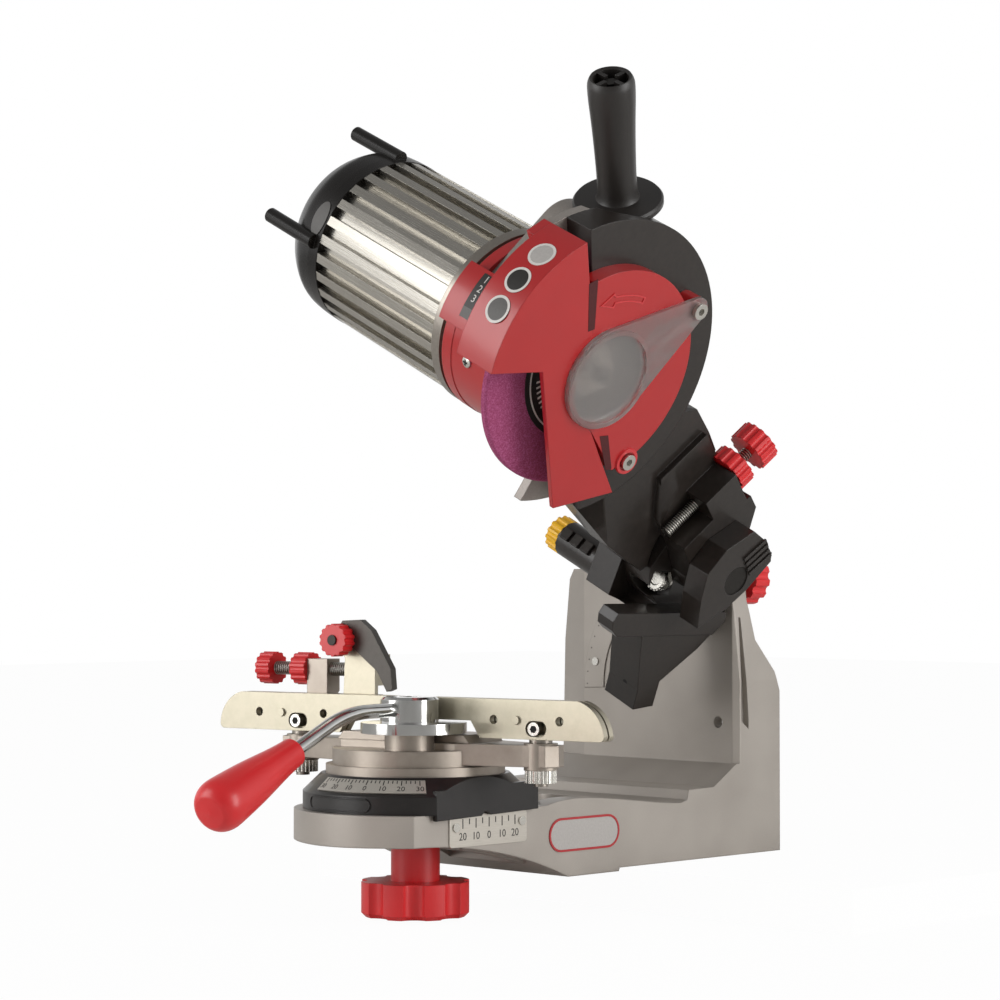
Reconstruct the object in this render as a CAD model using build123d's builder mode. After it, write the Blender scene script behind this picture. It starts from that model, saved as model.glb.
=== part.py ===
from build123d import *
import math
import os

os.makedirs("parts", exist_ok=True)

# Bench-mounted electric chainsaw sharpener. Millimetres, +Z up.
# X = 0 is the swivel axis of the chain vise, +X is the side the wheel cover faces.
# Y = 0 is the middle of the flat foot, -Y is the side the operator stands on.
# Z = 0 is the flat underside of the foot, which rests on the bench.

# ---- driving dimensions: the stand ----
foot_back = 72.4            # flat foot, rear edge
foot_front = -76.6          # flat foot, front edge, where the bench edge lies
lip_length = 44.0           # stop lip that hangs in front of the bench edge
lip_drop = 2.0
side_x = 50.0               # right side wall of the stand
left_x = -108.0             # left side of the stand at the column
vise_y = -195.0             # swivel axis of the vise
platform_r = 69.5           # round platform under the vise
platform_top = 40.0
platform_under = 22.0
column_front = 30.5         # front wall of the column
column_back = 44.0          # rear face of the column's upper wall
column_shoulder = 176.5     # top left corner of the column
ledge_z = 56.0              # step at the foot of the column
crown_r = 96.0              # arc on top of the column, about the tilt axis
slide_range = 10.0          # travel of the vise along the platform, each way

# ---- driving dimensions: the grinding head ----
chain_z = 102.2             # height of the chain and of the tilt axis
head_tilt = 26.3            # lean of the head as built, degrees from upright
wheel_y = -154.5            # wheel centre in head coordinates: along y, and up the leaning head
wheel_h = 210.7
hinge_y = -8.0              # arm hinge in the same coordinates
hinge_h = 96.0
wheel_d = 145.0
wheel_t = 4.8
wheel_bore = 22.2
label_d = 89.0
shaft_d = 14.0
motor_r = 53.2              # across the fins of the motor barrel
motor_front = -68.0         # stations along the spindle, wheel plane = 0
motor_back = -180.0
guard_r = 90.0              # black guard ring round the wheel
guard_inner = 78.0
cover_r = 64.0              # red side cover
cover_face = 20.0           # outer face of the red covers
clamp_h = 77.0              # tilt clamp bolt above the tilt axis
clamp_s = 1.0
clamp_d = 8.0
bolt_head_y = -20.0

# ---- driving dimensions: the vise ----
vise_swivel = 10.5          # vise angle as built
ring_r = 64.4
ring_top = 60.0
body_top = 81.0             # top of the vise body, under the rails
rail_top = 103.0
rail_t = 4.2
chain_gap = 1.6
rail_left = -141.0
rail_right = 130.5
lever_u = 14.0              # pivot of the clamp lever, along and across the rails
lever_w = -25.0
stop_w = 11.0               # chain stop screw behind the rails
stop_z = 117.0

# ---- clearances ----
run = 0.05                  # running fits, radial
free = 0.3                  # parts that pass each other

# ---- frames ----
tilt = math.radians(head_tilt)
swivel = math.radians(vise_swivel)
NORMAL = Vector(math.cos(tilt), 0, -math.sin(tilt))
UP = Vector(math.sin(tilt), 0, math.cos(tilt))
HEAD = Plane(origin=(0, 0, chain_z), x_dir=(0, 1, 0), z_dir=NORMAL)
WHEEL = Plane(origin=HEAD.from_local_coords((wheel_y, wheel_h, 0)), x_dir=(0, 1, 0), z_dir=NORMAL)
HINGE = Plane(origin=HEAD.from_local_coords((hinge_y, hinge_h, 0)), x_dir=(0, 1, 0), z_dir=NORMAL)
ALONG = Vector(math.cos(swivel), math.sin(swivel), 0)
ACROSS = Vector(-math.sin(swivel), math.cos(swivel), 0)
VISE = Plane(origin=(0, vise_y, 0), x_dir=ALONG, z_dir=(0, 0, 1))


def head_front(y):
    """Plane across y in head coordinates: sketch x is the spindle station, sketch y is h."""
    return Plane(origin=HEAD.from_local_coords((y, 0, 0)), x_dir=NORMAL, z_dir=(0, -1, 0))


def vise_front(w):
    """Upright plane along the rails at distance w behind them: sketch (u, z), facing the operator."""
    return Plane(origin=VISE.from_local_coords((0, w, 0)), x_dir=ALONG, z_dir=ACROSS * -1)


def vise_side(u):
    """Upright plane across the rails at u: sketch (w, z), facing right."""
    return Plane(origin=VISE.from_local_coords((u, 0, 0)), x_dir=ACROSS, z_dir=ALONG)


def save(piece, node):
    """Name a finished piece and write its file."""
    piece.part.label = node
    export_step(piece.part, f"parts/{node}.step")


def cylinder(plane, radius, length, bore=0.0, at=(0, 0)):
    """Disc, tube or pin standing on a plane, added to the piece being built."""
    with BuildSketch(plane) as disc:
        with Locations(at):
            Circle(radius)
            if bore:
                Circle(bore, mode=Mode.SUBTRACT)
    extrude(disc.sketch, amount=length)


def bore_through(plane, radius, length, at=(0, 0)):
    """Round hole cut from a plane along its normal."""
    with BuildSketch(plane) as disc:
        with Locations(at):
            Circle(radius)
    extrude(disc.sketch, amount=length, mode=Mode.SUBTRACT)


def grip_knob(plane, radius, length, flutes, flute_r, bore):
    """Hand knob with flutes cut round its rim."""
    with BuildSketch(plane) as outline:
        Circle(radius)
        with PolarLocations(radius + flute_r * 0.45, flutes):
            Circle(flute_r, mode=Mode.SUBTRACT)
        if bore:
            Circle(bore, mode=Mode.SUBTRACT)
    extrude(outline.sketch, amount=length)


def polar(radius, degrees):
    """Point on a circle, from its radius and angle."""
    return (radius * math.cos(math.radians(degrees)), radius * math.sin(math.radians(degrees)))


def arc_slot(plane, radius, start, sweep_angle, width):
    """Sketch of a slot with round ends that follows an arc about the plane's origin."""
    with BuildSketch(plane) as slot:
        with BuildLine():
            outer_arc = CenterArc((0, 0), radius + width / 2, start, sweep_angle)
            inner_arc = CenterArc((0, 0), radius - width / 2, start, sweep_angle)
            Line(outer_arc @ 0, inner_arc @ 0)
            Line(outer_arc @ 1, inner_arc @ 1)
        make_face()
        with Locations(polar(radius, start), polar(radius, start + sweep_angle)):
            Circle(width / 2)
    return slot.sketch


# ======================================================================
# stand
# ======================================================================
wall = 6.0
floor_z = 33.0              # floor of the channel along the top of the stand
bench_hole_d = 8.4
bench_holes = ((-78, 58), (38, 58), (-78, -60), (38, -60))
wall_hole_d = 7.0           # pair of holes in the column's front wall
wall_hole_x = (-73.0, 35.0)
wall_hole_z = 81.0
bevel_x = -79.0             # wide bevel on the left of the column's front
bevel_rise = 6.0
bevel_run = 22.0
stem_r = 14.0               # stem of the vise lock knob, and the pocket it slides in
stem_room = 2.5
vise_bolt_d = 10.0
seat_z = 18.0               # underside of the boss that the vise lock knob pulls against
guide_r = math.hypot(clamp_h, clamp_s)
dial = Plane(origin=(0, column_front, chain_z), x_dir=(1, 0, 0), z_dir=(0, -1, 0))
corner = math.hypot(left_x, 175.0)
tangent = math.degrees(math.atan2(175.0, left_x) + math.acos(platform_r / corner))

with BuildPart() as base_casting:
    # side view: flat foot, stop lip, platform, hump, ledge and column
    with BuildSketch(Plane.YZ.offset(left_x)):
        with BuildLine():
            foot = Polyline((foot_back, 0), (foot_front, 0), (foot_front - 0.8, -lip_drop),
                            (foot_front - lip_length, -lip_drop))
            belly = Spline(foot @ 1, (-152.5, 9.5), (-193, 18.6), (vise_y - platform_r, platform_under))
            nose = Line(belly @ 1, (vise_y - platform_r, platform_top))
            deck = Line(nose @ 1, (-139, platform_top))
            hump = Spline(deck @ 1, (-118, 42.8), (-100, 42.4), (-58.8, 38.2), (-22, 34.9))
            step = Polyline(hump @ 1, (-16, 36.5), (-14.5, 42.4), (8.9, 42.9), (29.8, 55.6),
                            (column_front, ledge_z), (column_front, 200), (column_back, 200),
                            (column_back, 157), (50.4, 132), (67.9, 112), (foot_back, 100))
            Line(step @ 1, foot @ 0)
        make_face()
    extrude(amount=side_x - left_x)
    # front view: full width up to the ledge, then the tapering column with its arched crown
    with BuildSketch(Plane.XZ.offset(-foot_back - 1)):
        with BuildLine():
            right = Polyline((side_x, -5), (side_x, 107), (47.5, 150), (46, 166),
                             (46, chain_z + math.sqrt(crown_r ** 2 - 46 ** 2)))
            crown_left = (-math.sqrt(crown_r ** 2 - (column_shoulder - chain_z) ** 2), column_shoulder)
            crown = ThreePointArc(right @ 1, (0, chain_z + crown_r), crown_left)
            Polyline(crown @ 1, (-91, column_shoulder), (-96, 170), (-101.5, 131), (-104, ledge_z),
                     (left_x, ledge_z), (left_x, -5), (side_x, -5))
        make_face()
    extrude(amount=400, mode=Mode.INTERSECT)
    # plan view: round platform widening back to the column
    with BuildSketch(Plane.XY.offset(-5)):
        with Locations((0, vise_y)):
            Circle(platform_r)
        with BuildLine():
            side = polar(platform_r, tangent)
            Polyline((side_x, foot_back), (left_x, foot_back), (left_x, vise_y + 175.0),
                     (side[0], vise_y + side[1]), (0, vise_y), (side_x, vise_y), close=True)
        make_face()
        with Locations((side_x + 50, vise_y)):
            Rectangle(100, 200, mode=Mode.SUBTRACT)
    extrude(amount=250, mode=Mode.INTERSECT)
    # bevelled corners of the column's front: wide on the left, narrow on the right
    with BuildSketch(Plane.XY.offset(ledge_z)):
        with BuildLine():
            far = 2 * bevel_run
            Polyline((bevel_x, column_front), (bevel_x - far, column_front + 2 * bevel_rise),
                     (bevel_x - far, column_front - 1), (bevel_x, column_front - 1), close=True)
        make_face()
        with BuildLine():
            Polyline((side_x - 3.5, column_front), (side_x + 1, column_front + 4.5),
                     (side_x + 1, column_front - 1), (side_x - 3.5, column_front - 1), close=True)
        make_face()
    extrude(amount=200, mode=Mode.SUBTRACT)
    # channel along the top
    with BuildSketch(Plane.XY.offset(floor_z)):
        with Locations((0, -110)):
            RectangleRounded(70, 130, 12)
    extrude(amount=30, mode=Mode.SUBTRACT)
    # hollow foot with ribs left standing
    with BuildSketch(Plane.XY.offset(-5)):
        with BuildLine():
            Polyline((left_x + wall, foot_back - wall), (side_x - wall, foot_back - wall),
                     (side_x - wall, -116), (-78, -116), (left_x + wall, -14), close=True)
        make_face()
        for rib_y in (-60, 0):
            with Locations((-29, rib_y)):
                Rectangle(170, 6, mode=Mode.SUBTRACT)
        with Locations((-29, -20)):
            Rectangle(6, 200, mode=Mode.SUBTRACT)
        with Locations(*bench_holes):
            Circle(11, mode=Mode.SUBTRACT)
    extrude(amount=floor_z - wall + 5, mode=Mode.SUBTRACT)
    # hollow platform round the clamp boss
    with BuildSketch(Plane.XY.offset(-5)):
        with Locations((0, vise_y)):
            Circle(platform_r - wall)
            SlotCenterToCenter(2 * slide_range, 2 * (stem_r + stem_room + 3), rotation=90, mode=Mode.SUBTRACT)
            for rib_angle in (0, 60, 120):
                Rectangle(2 * platform_r, 6, rotation=rib_angle, mode=Mode.SUBTRACT)
        with Locations((side_x + 44, vise_y)):
            Rectangle(100, 200, mode=Mode.SUBTRACT)
        with Locations((0, vise_y + 100)):
            Rectangle(300, 90, mode=Mode.SUBTRACT)
    extrude(amount=floor_z - 1 + 5, mode=Mode.SUBTRACT)
    with BuildSketch(Plane.XY.offset(seat_z)):
        with Locations((0, vise_y)):
            SlotCenterToCenter(2 * slide_range, 2 * (stem_r + stem_room + 1), rotation=90)
    extrude(amount=platform_top - seat_z - 4)
    with BuildSketch(Plane.XY.offset(-5)):
        with Locations((0, vise_y)):
            SlotCenterToCenter(2 * slide_range, 2 * (stem_r + stem_room), rotation=90)
    extrude(amount=seat_z + 5, mode=Mode.SUBTRACT)
    # hollow that the ring of the vise slides back into
    bore_through(Plane.XY.offset(platform_top), ring_r + free, 30, at=(0, vise_y + slide_range))
    with BuildSketch(Plane.XY.offset(-5)):
        with Locations((0, vise_y)):
            SlotCenterToCenter(2 * slide_range, vise_bolt_d + 2 * free, rotation=90)
    extrude(amount=60, mode=Mode.SUBTRACT)
    # hollow back of the column
    with BuildSketch(Plane.XZ.offset(-foot_back - 1)):
        with BuildLine():
            Polyline((-96, ledge_z - 20), (-93, 131), (-86, 146), (38, 146), (42, 107), (43, ledge_z - 20),
                     close=True)
        make_face()
        for rib_x in (-62, 0):
            with Locations((rib_x, 90)):
                Rectangle(5, 140, mode=Mode.SUBTRACT)
    extrude(amount=foot_back + 1 - column_front - 8, mode=Mode.SUBTRACT)
    # wedge-shaped pocket in the right side of the column
    with BuildSketch(Plane.YZ.offset(side_x)):
        with BuildLine():
            Polyline((35.2, 82), (42, 77), (42, 83), (37, 146), (35.2, 146), close=True)
        make_face()
    extrude(amount=-4, mode=Mode.SUBTRACT)
    # arc slot that guides the head
    extrude(arc_slot(dial, guide_r, 90 - head_tilt - 0.7, 47, clamp_d + 2 * free), amount=-40,
            mode=Mode.SUBTRACT)
    # holes in the front wall and threaded bosses for the bench bolts
    with BuildSketch(Plane.XZ.offset(-foot_back - 1)):
        with Locations(*[(x, wall_hole_z) for x in wall_hole_x]):
            Circle(wall_hole_d / 2)
    extrude(amount=80, mode=Mode.SUBTRACT)
    with BuildSketch(Plane.XY.offset(-1)):
        with Locations(*bench_holes):
            Circle(bench_hole_d / 2)
    extrude(amount=23, mode=Mode.SUBTRACT)
save(base_casting, "base_casting")

plate_t = 0.8
rivet_r = 1.8
scale_rivets_on_wall = ((-212, 32), (-160, 33))
dial_rivet_angle = 168
dial_in = 61.0
dial_out = 78.0
dial_mid = (dial_in + dial_out) / 2

with BuildPart() as side_scale_plate:
    with BuildSketch(Plane.YZ.offset(side_x)):
        with Locations((-186.5, 30)):
            RectangleRounded(61, 18, 2)
        with Locations(*scale_rivets_on_wall):
            Circle(rivet_r, mode=Mode.SUBTRACT)
    extrude(amount=plate_t)
save(side_scale_plate, "side_scale_plate")

with BuildPart() as tilt_scale_plate:
    with BuildSketch(dial):
        with BuildLine():
            inner_arc = CenterArc((0, 0), dial_in, 140, 42)
            outer_arc = CenterArc((0, 0), dial_out, 140, 42)
            Line(inner_arc @ 0, outer_arc @ 0)
            Line(inner_arc @ 1, outer_arc @ 1)
        make_face()
        with Locations(polar(dial_mid, dial_rivet_angle), polar(dial_mid, 146)):
            Circle(rivet_r, mode=Mode.SUBTRACT)
    extrude(amount=plate_t)
save(tilt_scale_plate, "tilt_scale_plate")

with BuildPart() as scale_rivets:
    for y, z in scale_rivets_on_wall:
        cylinder(Plane.YZ.offset(side_x), rivet_r, plate_t, at=(y, z))
        cylinder(Plane.YZ.offset(side_x + plate_t), rivet_r + 0.8, 0.8, at=(y, z))
    for angle in (dial_rivet_angle, 146):
        cylinder(dial, rivet_r, plate_t, at=polar(dial_mid, angle))
        cylinder(dial.offset(plate_t), rivet_r + 0.8, 0.8, at=polar(dial_mid, angle))
save(scale_rivets, "scale_rivets")

# ======================================================================
# tilting bracket on the column, with the arm hinge
# ======================================================================
cheek_out = 44.0            # outer face of the outer cheek
knuckle_out = 28.0          # arm knuckle, between the cheeks
knuckle_in = 9.0
block_in = -35.0            # inner block, behind the arm
pin_d = 16.0
bar_out = 22.0
bar_in = 8.0
bar_top = 63.5
plunger_y = -30.3
plunger_h = 67.8
barrel_end = -72.0

with BuildPart() as tilt_bracket:
    # slab that slides on the front wall of the column
    with BuildSketch(head_front(column_front)):
        with BuildLine():
            Polyline((block_in, 58), (block_in + 12, 44), (4, 42), (15, 60), (16, 68), (25, 80.5),
                     (34.6, 104.6), (33, 110), (-6, 116), (block_in, 96), close=True)
        make_face()
    extrude(amount=12)
    # inner block of the hinge
    with BuildSketch(HEAD.offset(block_in)):
        with BuildLine():
            Polyline((column_front, 48), (-20, 50), (-46, 58), (-46, 84), (-30, 122), (-4, 132), (14, 122),
                     (column_front, 108), close=True)
        make_face()
    extrude(amount=knuckle_in - free - block_in)
    # outer cheek
    with BuildSketch(HEAD.offset(knuckle_out + free)):
        with BuildLine():
            Polyline((-27, 64.3), (-33, 82), (-36, 100), (-27, 116), (-8, 129), (8.4, 121.7), (17.9, 109.4),
                     (5, 90.2), (-7.3, 77.2), close=True)
        make_face()
    extrude(amount=cheek_out - knuckle_out - free)
    # web from the cheek back to the slab
    with BuildSketch(HEAD.offset(knuckle_out + free)):
        with BuildLine():
            Polyline((0, 98), (0, 124), (14, 118), (27, 110), (27, 98), close=True)
        make_face()
    extrude(amount=5.5)
    # bar that stops the arm, ending in front of the slab
    with BuildSketch(HEAD.offset(bar_in)):
        with BuildLine():
            Polyline((18, 48), (-69, 48), (-75, 52), (-77, 58), (-75, bar_top), (23.5, bar_top), (25.3, 57.8),
                     close=True)
        make_face()
    extrude(amount=bar_out - bar_in)
    # leg under the bar, with a web back to the slab
    with BuildSketch(HEAD.offset(-5)):
        with BuildLine():
            Polyline((-46, 49), (-40, 33), (-31, 10), (-29, -3), (-12, -1), (-14, 16), (10, 38), (24, 56),
                     (-30, 56), close=True)
        make_face()
    extrude(amount=26)
    # room for the swinging arm: everything in its planes outside the knuckle
    with BuildSketch(HEAD.offset(-14)):
        with BuildLine():
            Polyline((-140, 20), (-115, 33.4), (-66.9, 43.9), (-29.5, 57.4), (-20, 66.5), (-12, 66.5),
                     (-12, 140), (-140, 140), close=True)
        make_face()
        with Locations((hinge_y, hinge_h)):
            Circle(38, mode=Mode.SUBTRACT)
    extrude(amount=knuckle_in - free + 14, mode=Mode.SUBTRACT)
    # ribbed barrel of the return spring
    cylinder(HEAD.offset(barrel_end), 11.5, block_in - barrel_end, at=(plunger_y, plunger_h))
    with BuildSketch(HEAD.offset(barrel_end + 6)):
        with Locations((plunger_y, plunger_h)):
            Circle(13)
            Circle(10.3, mode=Mode.SUBTRACT)
            for turn in range(0, 360, 45):
                with Locations(polar(11.5, turn)):
                    Rectangle(5, 30, rotation=turn, mode=Mode.SUBTRACT)
    bore_through(HEAD.offset(barrel_end), 9, 40, at=(plunger_y, plunger_h))
    bore_through(HINGE.offset(block_in - 1), pin_d / 2, cheek_out - block_in + 2)
    bore_through(HINGE.offset(cheek_out - 3), 9.5, 4)
    # seat of the clamp bolt
    bore_through(head_front(bolt_head_y), 11, 20, at=(clamp_s, clamp_h))
    bore_through(head_front(column_front + 10), clamp_d / 2, 80, at=(clamp_s, clamp_h))
    # guide tongue that runs in the arc slot
    extrude(arc_slot(dial, guide_r, 90 - head_tilt + 9, 10, clamp_d), amount=-6)
save(tilt_bracket, "tilt_bracket")

with BuildPart() as hinge_pin:
    cylinder(HINGE.offset(block_in), pin_d / 2, cheek_out - 3 - block_in)
    cylinder(HINGE.offset(cheek_out - 3), 9.5, 2.4)
save(hinge_pin, "hinge_pin")

with BuildPart() as tilt_clamp_bolt:
    with BuildSketch(head_front(bolt_head_y)):
        with Locations((clamp_s, clamp_h)):
            RegularPolygon(7.2, 6)
    extrude(amount=6)
    cylinder(head_front(bolt_head_y), 7.6, 1.6, at=(clamp_s, clamp_h))
    cylinder(head_front(64), clamp_d / 2, 64 - bolt_head_y, at=(clamp_s, clamp_h))
save(tilt_clamp_bolt, "tilt_clamp_bolt")

with BuildPart() as return_spring:
    with BuildSketch(HEAD.offset(barrel_end + 8)):
        with Locations((plunger_y, plunger_h)):
            Circle(8.8)
            Circle(6.8, mode=Mode.SUBTRACT)
    extrude(amount=24)
save(return_spring, "return_spring")

with BuildPart() as tilt_lock_knob:
    knob_plane = Plane(origin=head_front(column_back).from_local_coords((clamp_s, clamp_h, 0)),
                       x_dir=NORMAL, z_dir=(0, 1, 0))
    cylinder(knob_plane, 8, 4, clamp_d / 2 + run)
    grip_knob(knob_plane.offset(4), 17, 13, 12, 3.0, clamp_d / 2 + run)
save(tilt_lock_knob, "tilt_lock_knob")

with BuildPart() as spring_adjuster_screw:
    cylinder(HEAD.offset(barrel_end - 7), 4, 41, at=(plunger_y, plunger_h))
    cylinder(HEAD.offset(barrel_end + 3), 6.5, 5, at=(plunger_y, plunger_h))
save(spring_adjuster_screw, "spring_adjuster_screw")

with BuildPart() as spring_adjuster_knob:
    adjuster = Plane(origin=HEAD.from_local_coords((plunger_y, plunger_h, barrel_end - 10)),
                     x_dir=(0, 1, 0), z_dir=NORMAL)
    grip_knob(adjuster, 11.5, 9.6, 14, 2.0, 0)
    bore_through(adjuster.offset(3), 4, 12)
save(spring_adjuster_knob, "spring_adjuster_knob")

# ======================================================================
# arm, guards and covers
# ======================================================================
arm_out = 6.0               # outer face of the arm
rim_from = 124              # red front cover, angles round the wheel
rim_to = 182
ring_face = 10.0            # outer face of the guard ring
screw_at = ((52.5, 45.3), (40.5, -49.7))
hub_r = 24.0
housing_r = 52.0
boss_r = 22.0
boss_at = (2.0, 58.0)
housing_back = -50.0
handle_s = -20.0
handle_foot = (6.7, 88.0)   # centre of the handle's flange, from the wheel centre
handle_lean = 29.7          # handle leans forward from the h direction
HANDLE = Plane(origin=WHEEL.from_local_coords((handle_foot[0], handle_foot[1], handle_s)), x_dir=NORMAL,
               z_dir=Vector(0, 1, 0) * -math.sin(math.radians(handle_lean))
               + UP * math.cos(math.radians(handle_lean)))
stop_dir = 49.3             # depth stop screw, angle in the plane of the wheel
stop_s = 15.0
stop_tip = (-51.0, 113.5)
STOP = Plane(origin=HEAD.from_local_coords((stop_tip[0], stop_tip[1], stop_s)), x_dir=NORMAL,
             z_dir=Vector(0, 1, 0) * math.cos(math.radians(stop_dir))
             + UP * math.sin(math.radians(stop_dir)))
stop_screw_d = 7.0

with BuildPart() as arm_casting:
    # guard ring behind the wheel
    with BuildSketch(WHEEL.offset(-10)):
        with BuildLine():
            outer_arc = CenterArc((0, 0), guard_r, -72, 189)
            inner_arc = CenterArc((0, 0), guard_inner, -72, 189)
            Line(outer_arc @ 0, inner_arc @ 0)
            Line(outer_arc @ 1, inner_arc @ 1)
        make_face()
    extrude(amount=ring_face + 10)
    # lip that carries the side cover
    with BuildSketch(WHEEL.offset(arm_out)):
        with BuildLine():
            outer_arc = CenterArc((0, 0), guard_r - 2, -72, 189)
            inner_arc = CenterArc((0, 0), cover_r - 6, -72, 189)
            Line(outer_arc @ 0, inner_arc @ 0)
            Line(outer_arc @ 1, inner_arc @ 1)
        make_face()
    extrude(amount=ring_face - arm_out)
    # arm from the ring to the hinge
    with BuildSketch(HEAD.offset(-10)):
        with BuildLine():
            Polyline((wheel_y + 102.5, wheel_h - 20.7), (-34, 176), (6, 138), (4, 122), (-12, 110), (-50, 84),
                     (-86, 100), (wheel_y + 26.5, wheel_h - 84.7), (wheel_y + 14.5, wheel_h - 70.7),
                     (wheel_y + 54.5, wheel_h - 30.7), close=True)
        make_face()
        with Locations((wheel_y, wheel_h)):
            Circle(guard_inner, mode=Mode.SUBTRACT)
        with Locations((hinge_y, hinge_h)):
            Circle(38 + free, mode=Mode.SUBTRACT)
    extrude(amount=arm_out + 10)
    # knuckle, and the web that joins it outside the swing of the inner block
    with BuildSketch(HEAD.offset(0)):
        with BuildLine():
            Polyline((-26, 88), (-40, 104), (-56, 120), (-66, 146), (-40, 176), (6, 138), (10, 104),
                     close=True)
        make_face()
        with Locations((hinge_y, hinge_h)):
            Circle(38 + free, mode=Mode.SUBTRACT)
    extrude(amount=knuckle_in)
    with BuildSketch(HEAD.offset(knuckle_in)):
        with Locations((hinge_y, hinge_h)):
            Circle(20)
        with BuildLine():
            Polyline((-26, 88), (-40, 104), (-56, 120), (-66, 146), (-40, 176), (6, 138), (10, 104),
                     close=True)
        make_face()
    extrude(amount=knuckle_out - knuckle_in)
    with BuildSketch(WHEEL.offset(-20)):
        Circle(guard_inner)
    extrude(amount=20 + arm_out, mode=Mode.SUBTRACT)
    # lug of the depth stop
    cylinder(STOP.offset(26), 8.5, 26)
    bore_through(STOP.offset(-20), stop_screw_d / 2 + run, 120)
    bore_through(STOP.offset(52), 14.5, 50)
    # flat seat under the handle's flange
    bore_through(HANDLE, 26, 60)
    bore_through(HANDLE.offset(-30), 15, 60)
    bore_through(HINGE.offset(knuckle_in - 1), pin_d / 2 + run, knuckle_out)
    for spot in screw_at:
        bore_through(WHEEL.offset(arm_out), 2.5, 10, at=spot)
save(arm_casting, "arm_casting")

with BuildPart() as wheel_housing:
    # back plate of the wheel guard
    with BuildSketch(WHEEL.offset(-16)):
        Circle(housing_r)
        with BuildLine():
            shield_arc = CenterArc((0, 0), guard_r, -90, 90 + rim_from - 0.5)
            ThreePointArc(shield_arc @ 0, (6, -60), (0, 0))
            Line((0, 0), shield_arc @ 1)
        make_face()
    extrude(amount=6)
    # drum towards the motor, rising to the handle boss
    with BuildSketch(WHEEL.offset(housing_back)):
        Circle(housing_r)
        with Locations(boss_at):
            Circle(boss_r)
        make_hull()
        Circle(housing_r - 6, mode=Mode.SUBTRACT)
    extrude(amount=-16 - housing_back)
    # bearing hub
    cylinder(WHEEL.offset(-36), hub_r, 22)
    with BuildSketch(WHEEL.offset(-24)):
        for turn in (30, 150, 270):
            with Locations(polar(36, turn)):
                Rectangle(30, 5, rotation=turn)
    extrude(amount=9)
    # boss that the handle screws on to
    cylinder(HANDLE.offset(-26), 15, 26)
    bore_through(WHEEL.offset(housing_back - 1), housing_r - 6, -24 - housing_back + 1)
    cylinder(WHEEL.offset(-36), hub_r, 22)
    bore_through(HANDLE, 30, 60)
    bore_through(HANDLE.offset(-20), 4, 30)
    bore_through(WHEEL.offset(-40), 17.5, 22)
    bore_through(WHEEL.offset(-20), 9, 30)
save(wheel_housing, "wheel_housing")

rim_r = 89.2
rim_mid_r = 91.8
rim_top_r = 91.5
cover_wall = 3.0
window_r = 30.4

with BuildPart() as front_cover:
    # face plate beside the window, with its leg
    with BuildSketch(WHEEL.offset(cover_face - cover_wall)):
        with BuildLine():
            face_arc = ThreePointArc(polar(rim_r, rim_to), polar(rim_mid_r, 153), polar(rim_top_r, rim_from))
            Polyline(face_arc @ 1, (-23, 25), (-20, -20), (3, -33), (38.5, -69.7), (-5.5, -80.7),
                     (-50.9, 0.3), face_arc @ 0)
        make_face()
        Circle(window_r - 4, mode=Mode.SUBTRACT)
    extrude(amount=cover_wall)
    # rim band over the wheel
    with BuildSketch(WHEEL.offset(-9.5)):
        with BuildLine():
            outer = ThreePointArc(polar(rim_r, rim_to), polar(rim_mid_r, 153), polar(rim_top_r, rim_from))
            inner = ThreePointArc(polar(rim_r - cover_wall, rim_to), polar(rim_mid_r - cover_wall, 153),
                                  polar(rim_top_r - cover_wall, rim_from))
            Line(outer @ 0, inner @ 0)
            Line(outer @ 1, inner @ 1)
        make_face()
    extrude(amount=cover_face + 9.5 - cover_wall)
    # walls along the seam, down to the guard lip
    with BuildSketch(WHEEL.offset(ring_face)):
        with BuildLine():
            Polyline(polar(rim_top_r - 1, rim_from), (-23, 25), (-25.5, 23.5),
                     polar(rim_top_r - 1, rim_from + 3), close=True)
        make_face()
        with BuildLine():
            Polyline((3, -33), (38.5, -69.7), (36, -70.4), (0.6, -34.6), close=True)
        make_face()
    extrude(amount=cover_face - cover_wall - ring_face)
    # lug that fixes the band to the housing
    with BuildSketch(WHEEL.offset(-16)):
        with BuildLine():
            Polyline(polar(rim_top_r, rim_from), polar(rim_top_r, rim_from + 8), polar(84, rim_from + 8),
                     polar(84, rim_from), close=True)
        make_face()
    extrude(amount=6.5)
save(front_cover, "front_cover")

with BuildPart() as side_cover:
    with BuildSketch(WHEEL.offset(ring_face)):
        with BuildLine():
            side_arc = CenterArc((0, 0), cover_r, -61, 184)
            Polyline(side_arc @ 0, (3 + free, -33), (-20, -20), (-23, 25), side_arc @ 1)
        make_face()
        for spot in screw_at:
            with Locations(spot):
                Circle(7.5)
    extrude(amount=cover_face - ring_face)
    with BuildSketch(WHEEL.offset(ring_face - 1)):
        with BuildLine():
            side_arc = CenterArc((0, 0), cover_r - cover_wall, -58, 178)
            Polyline(side_arc @ 0, (4, -30), (-17, -18), (-20, 23), side_arc @ 1)
        make_face()
        for spot in screw_at:
            with Locations(spot):
                Circle(6, mode=Mode.SUBTRACT)
    extrude(amount=cover_face - cover_wall - ring_face + 1, mode=Mode.SUBTRACT)
    with BuildSketch(WHEEL.offset(ring_face - 1)):
        with BuildLine():
            Polyline((-40, 60), (-23, 25), (-25, -20), (4, -34), (30, -60), (-60, -60), (-70, 40), close=True)
        make_face()
        Circle(window_r - 4)
    extrude(amount=20, mode=Mode.SUBTRACT)
    for spot in screw_at:
        bore_through(WHEEL.offset(ring_face - 1), 2.5, 20, at=spot)
save(side_cover, "side_cover")

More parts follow.
